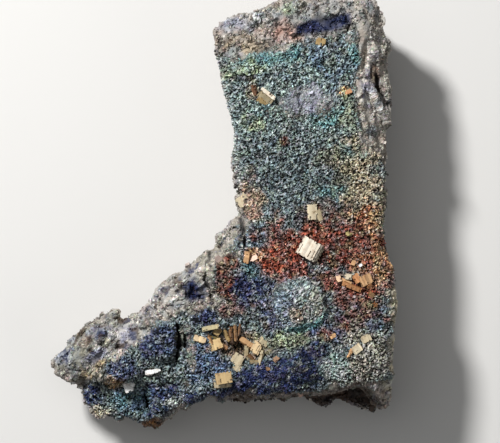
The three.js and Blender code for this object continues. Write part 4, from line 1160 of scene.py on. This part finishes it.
# Pieces of the druse and of the grit, from the leg down to the sole.
bedBands = {
    "druse": (("top", 11.0, 22), ("leg", 5.0, 11.0), ("shin", -0.5, 5.0), ("ankle", -5.5, -0.5),
              ("heel", -10.0, -5.5), ("instep", -14.0, -10.0), ("sole", -23, -14.0)),
    "grit": (("leg", -2, 23), ("foot", -23, -2)),
    "wall_grit": (("leg", -2, 23), ("foot", -23, -2)),
}


def layBed(kind, points, faces, chosen, shape, paint):
    places, normals, sizes = sowOn(points, faces, chosen, shape)
    tints = grainTints(paint(places), shape)
    print(kind, "crystals:", len(places))
    for band, low, high in bedBands[kind]:
        isHere = (places[:, 1] >= low) & (places[:, 1] < high)
        crystalBed(f"{kind}_{band}", places[isHere], normals[isHere], sizes[isHere], tints[isHere],
                   shape["lean"], shape["facetTone"])


def makeDruse(rock, crust, cover):
    faceCover = cover[crust.quads].mean(axis=1)
    perCell = {"druse": druseShape["perCell"] * faceCover, "grit": gritShape["perCell"] * (1 - faceCover)}
    for kind, shape, paint in (("druse", druseShape, druseTint), ("grit", gritShape, rockTint)):
        chosen = np.repeat(np.arange(len(crust.quads)), dice.poisson(perCell[kind]))
        layBed(kind, crust.points, crust.quads, chosen, shape, paint)
    points, faces, isFront = rock
    heights = points[faces[:, 0], 2]
    isUnder = quadNormals(points, faces)[:, 2] < 0
    isWorn = (heights < gritShape["wornHeight"]) | isUnder & (heights < gritShape["clearOfFloor"])
    isWall = (isFront[faces].mean(axis=1) < 0.5) & ~isWorn
    chosen = np.repeat(np.arange(len(faces)), dice.poisson(gritShape["perWallCell"] * isWall))
    layBed("wall_grit", points, faces, chosen, gritShape, wallTint)


rock = makeRock()
surface = HeightMap(rock[0], rock[1], rockShape["surfaceStep"])
surface.fillEdge()
print("rock made")
crust, cover = makeCrust(surface)
print("crust made")
makeDruse(rock, crust, cover)
print("druse made")


# Bassetite plates. Each leaf is a stack of thin sheets.
# A sheet is a ragged grid of cells with slots cut in.
plateShape = {
    "cell": 0.13, "jitter": 0.008, "nibble": 0.2, "cornerLoss": 0.4, "slotWidth": 0.55,
    "gap": 0.16, "slip": 0.03, "spread": 1.2, "sizeSpread": (0.9, 1.03), "lift": 0.14,
    # lower sheets darker, with painted shade
    "topTone": (0.92, 1.06), "lowSheetShade": (0.55, 0.95), "stripeTone": 0.16,
    # painted shade on the sides and undersides of each sheet, the sides warmer
    "edgeShade": 0.62, "edgeTint": np.array([1, 0.86, 0.66]),
}
platePaints = {
    "white": colour(218, 207, 188), "cream": colour(192, 178, 148), "straw": colour(170, 156, 126),
    "gold": colour(176, 150, 104), "honey": colour(184, 146, 106), "amber": colour(186, 134, 92),
    "tan": colour(146, 112, 82), "greengold": colour(156, 144, 96), "brown": colour(98, 70, 52),
    "chalk": colour(216, 216, 214), "pink": colour(200, 170, 156),
}


# The turn, lean and bearing of the lean are in degrees, and the rise is over the rock.
def leaf(x, y, width, length, thick, turn, lean, bearing, rise, paint, sheets=3, slots=0, slip=(0, 0)):
    return {"at": (x, y), "size": (width, length), "thick": thick,
            "turn": turn, "lean": lean, "bearing": bearing,
            "rise": rise, "paint": paint, "sheets": sheets, "slots": slots, "slip": slip}


crystals = {
    "bassetite_square_book": [
        leaf(8.62, -3.36, 1.62, 1.62, 0.5, -29, 7, 200, 0.5, "white", 3, 3, (0.08, -0.03)),
        leaf(8.82, -3.48, 1.66, 1.5, 0.5, -29, 7, 200, 0.1, "cream", 3, 1, (0.09, -0.04))],
    "bassetite_twin_plate": [
        leaf(8.98, 0.2, 0.8, 1.35, 0.3, 4, 8, 120, 0.32, "cream", 2, 0, (0.03, 0)),
        leaf(9.55, -0.1, 0.75, 0.95, 0.3, 18, 12, 330, 0.18, "straw", 2)],
    "bassetite_ankle_plate": [
        leaf(2.05, 1.35, 0.95, 0.9, 0.3, 35, 10, 170, 0.25, "cream", 3),
        leaf(2.35, 1.95, 0.5, 0.7, 0.22, 10, 16, 90, 0.1, "straw", 2)],
    "bassetite_upper_book": [
        leaf(4.58, 12.0, 1.4, 0.34, 0.34, -38, 12, 60, 0.75, "white", 2, 0, (0, 0.02)),
        leaf(4.3, 11.62, 1.35, 0.72, 0.3, -38, 38, 235, 0.4, "straw", 3, 1),
        leaf(4.02, 11.3, 1.0, 0.5, 0.26, -38, 44, 235, 0.12, "gold", 2)],
    "bassetite_upper_leaf": [leaf(3.15, 12.25, 0.5, 1.0, 0.26, 12, 38, 190, 0.15, "brown", 2, 1)],
    "bassetite_top_plate": [leaf(9.85, 17.2, 0.85, 0.6, 0.3, -12, 15, 250, 0.1, "gold")],
    "bassetite_amber_grain": [leaf(12.55, 12.2, 0.6, 0.4, 0.3, 20, 20, 90, 0.05, "amber")],
    "bassetite_amber_rosette": [
        leaf(11.6, -6.35, 0.42, 0.55, 0.22, 20, 20, 150, 0.3, "honey", 2),
        leaf(12.55, -6.2, 0.62, 0.5, 0.24, -10, 18, 110, 0.4, "straw", 2),
        leaf(12.1, -6.6, 1.3, 0.42, 0.24, -20, 34, 80, 0.25, "honey", 3, 1),
        leaf(12.85, -7.15, 1.75, 0.42, 0.24, -22, 30, 250, 0.3, "amber", 3, 1),
        leaf(13.4, -6.35, 0.7, 0.8, 0.26, 30, 24, 60, 0.2, "amber", 2),
        leaf(14.3, -6.5, 1.05, 0.85, 0.28, 24, 12, 20, 0.42, "honey", 3),
        leaf(14.75, -7.2, 0.5, 0.6, 0.22, 40, 40, 300, 0.15, "amber", 2)],
    "bassetite_heel_plate_high": [leaf(14.3, -12.35, 0.8, 0.62, 0.28, 25, 10, 120, 0.15, "straw")],
    "bassetite_heel_plate_low": [
        leaf(13.45, -13.35, 0.85, 0.68, 0.28, 38, 12, 150, 0.2, "cream"),
        leaf(12.75, -13.75, 0.95, 0.32, 0.24, 58, 46, 150, 0.12, "honey")],
    "bassetite_hollow_edge_plate": [leaf(4.1, -12.7, 0.85, 0.55, 0.3, -40, 10, 40, 0.25, "straw")],
    "bassetite_indigo_plate_high": [leaf(5.4, -14.35, 0.5, 0.45, 0.25, 40, 15, 90, 0.1, "tan", 2)],
    "bassetite_indigo_plate_low": [leaf(4.65, -15.35, 0.5, 0.35, 0.24, 10, 15, 40, 0.1, "tan", 2)],
    "bassetite_sole_plate_high": [
        leaf(1.5, -14.45, 0.95, 0.95, 0.3, -30, 8, 130, 0.3, "straw", 3, 0, (0.03, -0.04)),
        leaf(1.55, -15.15, 0.7, 0.8, 0.26, -28, 12, 250, 0.12, "cream", 2)],
    "bassetite_sole_plate_low": [
        leaf(0.15, -16.3, 1.4, 0.95, 0.3, 10, 8, 80, 0.42, "gold", 3, 1),
        leaf(0.05, -16.75, 1.5, 0.75, 0.3, 6, 14, 265, 0.12, "cream", 3, 0, (0, -0.06))],
    "bassetite_golden_sheaf_left": [
        leaf(-1.15, -11.3, 1.35, 0.4, 0.22, 12, 24, 100, 0.5, "greengold", 2),
        leaf(-0.5, -11.7, 0.62, 0.7, 0.24, -35, 24, 60, 0.4, "gold", 2),
        leaf(-1.25, -12.45, 0.95, 0.34, 0.2, -62, 52, 200, 0.15, "honey", 2),
        leaf(-0.8, -12.4, 0.9, 0.4, 0.22, -15, 36, 270, 0.12, "greengold", 2)],
    "bassetite_amber_fan": [
        leaf(-0.65, -13.0, 1.0, 0.9, 0.26, 22, 14, 80, 0.35, "gold", 3, 1),
        leaf(0.1, -13.1, 0.8, 0.42, 0.22, -40, 46, 60, 0.15, "tan", 2)],
    "bassetite_toe_side_leaf": [leaf(-2.2, -12.45, 1.15, 0.55, 0.26, -18, 16, 110, 0.25, "gold", 2)],
    "bassetite_upright_sheaf": [
        leaf(0.35, -11.95, 1.35, 0.5, 0.22, -62, 58, 200, 0.35, "gold", 2),
        leaf(0.85, -12.0, 1.45, 0.5, 0.24, 78, 66, 190, 0.4, "tan", 2),
        leaf(1.25, -11.75, 1.5, 0.55, 0.24, 82, 70, 190, 0.4, "honey", 2),
        leaf(1.7, -11.4, 1.1, 0.5, 0.24, 74, 68, 180, 0.35, "tan", 2),
        leaf(1.1, -12.6, 1.0, 0.4, 0.24, 10, 56, 270, 0.15, "brown", 2)],
    "bassetite_golden_sheaf_right": [
        leaf(2.5, -12.8, 1.35, 0.5, 0.26, -36, 34, 60, 0.4, "honey", 2),
        leaf(2.45, -13.75, 1.25, 0.45, 0.24, 84, 46, 190, 0.35, "straw", 2),
        leaf(2.9, -13.35, 0.9, 0.4, 0.24, 30, 40, 240, 0.12, "tan", 2)],
    "bassetite_pale_sheaf": [
        leaf(3.45, -13.35, 0.75, 0.95, 0.26, -28, 26, 150, 0.5, "gold", 3, 1),
        leaf(2.95, -14.35, 0.9, 0.32, 0.22, -50, 54, 230, 0.25, "tan", 2),
        leaf(3.85, -14.2, 1.25, 0.34, 0.22, 70, 40, 190, 0.3, "cream", 2),
        leaf(3.35, -14.75, 1.1, 0.32, 0.22, -10, 36, 270, 0.15, "cream", 2)],
    "bassetite_ankle_amber_leaf": [
        leaf(2.45, -4.3, 1.0, 0.5, 0.22, 80, 34, 180, 0.3, "honey", 2, 1),
        leaf(3.1, -4.3, 0.7, 0.6, 0.24, 30, 20, 120, 0.1, "amber", 2)],
}
recordSlots = {part["node"]: part["material_slot"] for part in frame["record"]["subparts"]}


# Edges of a row of cells with uneven widths, centred on 0.
def unevenSteps(size):
    widths = dice.uniform(0.4, 1.6, max(3, round(size / plateShape["cell"])))
    edges = np.concatenate([[0], np.cumsum(widths)])
    return (edges / edges[-1] - 0.5) * size


# Which cells of a sheet are left after its edges are nibbled.
def keptCells(rows, columns):
    kept = np.ones((rows, columns), bool)
    nibble = plateShape["nibble"]
    for column in range(columns):
        for row in (0, -1):
            kept[row, column] = dice.random() > nibble
            if not kept[row, column] and dice.random() < nibble and rows > 5:
                kept[row + (1 if row == 0 else -1), column] = False
    for row in range(rows):
        for column in (0, -1):
            kept[row, column] &= dice.random() > nibble
    for row, column in ((0, 0), (0, -1), (-1, 0), (-1, -1)):
        kept[row, column] &= dice.random() > plateShape["cornerLoss"]
    return kept


# One sheet between two heights. A slot is a run of narrowed cells that are left out.
def sheetMesh(size, low, high, slots, paint):
    x, y = unevenSteps(size[0]), unevenSteps(size[1])
    if slots:
        narrow = dice.integers(1, len(x) - 2, slots)
        x[narrow + 1] = x[narrow] + plateShape["slotWidth"] * (x[narrow + 1] - x[narrow])
    rows, columns = len(y) - 1, len(x) - 1
    kept = keptCells(rows, columns)
    if slots:
        for column in narrow:
            first = dice.integers(1, max(2, rows // 2))
            kept[first:first + rows // 3 + 1, column] = False
    gridX, gridY = np.meshgrid(x, y)
    grid = np.stack([gridX, gridY], axis=2).reshape(-1, 2)
    grid = grid + dice.normal(0, plateShape["jitter"], (gridX.size, 2))
    layer = len(grid)
    points = np.vstack([np.column_stack([grid, np.full(layer, height)]) for height in (low, high)])
    stripes = np.exp(dice.normal(0, plateShape["stripeTone"], columns))
    faces, tints = [], []

    def addFace(corners, tone):
        faces.append(corners)
        tints.extend([(*(paint * tone), 1)] * 4)

    for row, column in zip(*np.nonzero(kept)):
        a = row * (columns + 1) + column
        b, c, d = a + 1, a + columns + 2, a + columns + 1
        addFace((a + layer, b + layer, c + layer, d + layer), stripes[column])
        addFace((a, d, c, b), plateShape["edgeShade"])
        sides = (((row - 1, column), a, b), ((row, column + 1), b, c),
                 ((row + 1, column), c, d), ((row, column - 1), d, a))
        for (otherRow, otherColumn), start, end in sides:
            isInside = 0 <= otherRow < rows and 0 <= otherColumn < columns
            if not (isInside and kept[otherRow, otherColumn]):
                addFace((start, end, end + layer, start + layer),
                        plateShape["edgeShade"] * plateShape["edgeTint"])
    return points, np.array(faces), np.array(tints)


# The sheets of one leaf, from the lowest up.
def leafSheets(plate):
    bearing = math.radians(plate["bearing"])
    hinge = Vector((-math.sin(bearing), math.cos(bearing), 0))
    lean = Matrix.Rotation(math.radians(plate["lean"]), 3, hinge)
    turn = np.array(lean @ Matrix.Rotation(math.radians(plate["turn"]), 3, "Z"))
    x, y = plate["at"]
    height = surface.at(np.array([[x, y, 0.0]]))[0] + plate["rise"] + plateShape["lift"]
    middle = np.array([x, y, height])
    step = plate["thick"] / plate["sheets"]
    for sheet in range(plate["sheets"]):
        low = step * sheet - plate["thick"] / 2
        isTop = sheet == plate["sheets"] - 1
        paint = platePaints[plate["paint"]] * dice.uniform(*plateShape["topTone" if isTop else "lowSheetShade"])
        size = np.array(plate["size"]) * plateShape["spread"] * dice.uniform(*plateShape["sizeSpread"], 2)
        points, faces, tints = sheetMesh(size, low, low + step * (1 - plateShape["gap"]),
                                         plate["slots"] if isTop else 0, paint)
        below = plate["sheets"] - 1 - sheet
        points[:, :2] += dice.normal(0, plateShape["slip"], 2) + np.array(plate["slip"]) * below
        yield points @ turn.T + middle, faces, tints


def leafPiece(name, leaves, slot, nodes=()):
    allPoints, allFaces, allTints, start = [], [], [], 0
    for plate in leaves:
        for points, faces, tints in leafSheets(plate):
            allPoints.append(points)
            allFaces.append(faces + start)
            allTints.append(tints)
            start += len(points)
    makePiece(name, np.vstack(allPoints), np.vstack(allFaces), looks["plate"], slot,
              np.vstack(allTints), nodes)


# Small flakes with no node of their own.
flakes = [
    leaf(-9.5, -17.25, 0.75, 0.95, 0.22, 20, 8, 100, 0.85, "chalk", 2),
    leaf(-9.15, -17.0, 0.6, 0.45, 0.2, -30, 16, 60, 0.85, "chalk", 2),
    leaf(-7.3, -15.8, 0.8, 0.42, 0.22, 8, 16, 100, 0.2, "chalk", 2),
    leaf(-6.6, -15.65, 0.75, 0.38, 0.22, 18, 22, 60, 0.2, "chalk", 2),
    leaf(7.8, -18.0, 0.4, 0.45, 0.2, 30, 20, 270, 0.2, "pink", 2),
    leaf(13.7, -5.1, 0.28, 0.28, 0.16, 40, 16, 120, 0.3, "chalk", 2),
    leaf(11.0, -12.15, 0.5, 0.4, 0.2, 20, 20, 60, 0.25, "honey", 2),
    leaf(12.6, -1.9, 0.5, 0.4, 0.2, 30, 26, 80, 0.2, "greengold", 2),
    leaf(14.9, -8.0, 0.55, 0.4, 0.2, -40, 30, 300, 0.25, "honey", 2),
    leaf(15.2, -9.0, 0.5, 0.35, 0.2, -60, 34, 300, 0.25, "amber", 2),
    leaf(9.9, -6.2, 0.5, 0.3, 0.2, 60, 40, 200, 0.2, "brown", 2),
    leaf(13.1, -4.8, 0.55, 0.35, 0.2, 70, 30, 90, 0.2, "honey", 2),
    leaf(-0.2, -4.6, 1.0, 0.6, 0.24, -35, 20, 150, 0.3, "brown", 2),
]
for node, leaves in crystals.items():
    leafPiece(node + "_sheets", leaves, recordSlots[node], [node])
leafPiece("loose_flakes", flakes, "rock")
print("plates made")
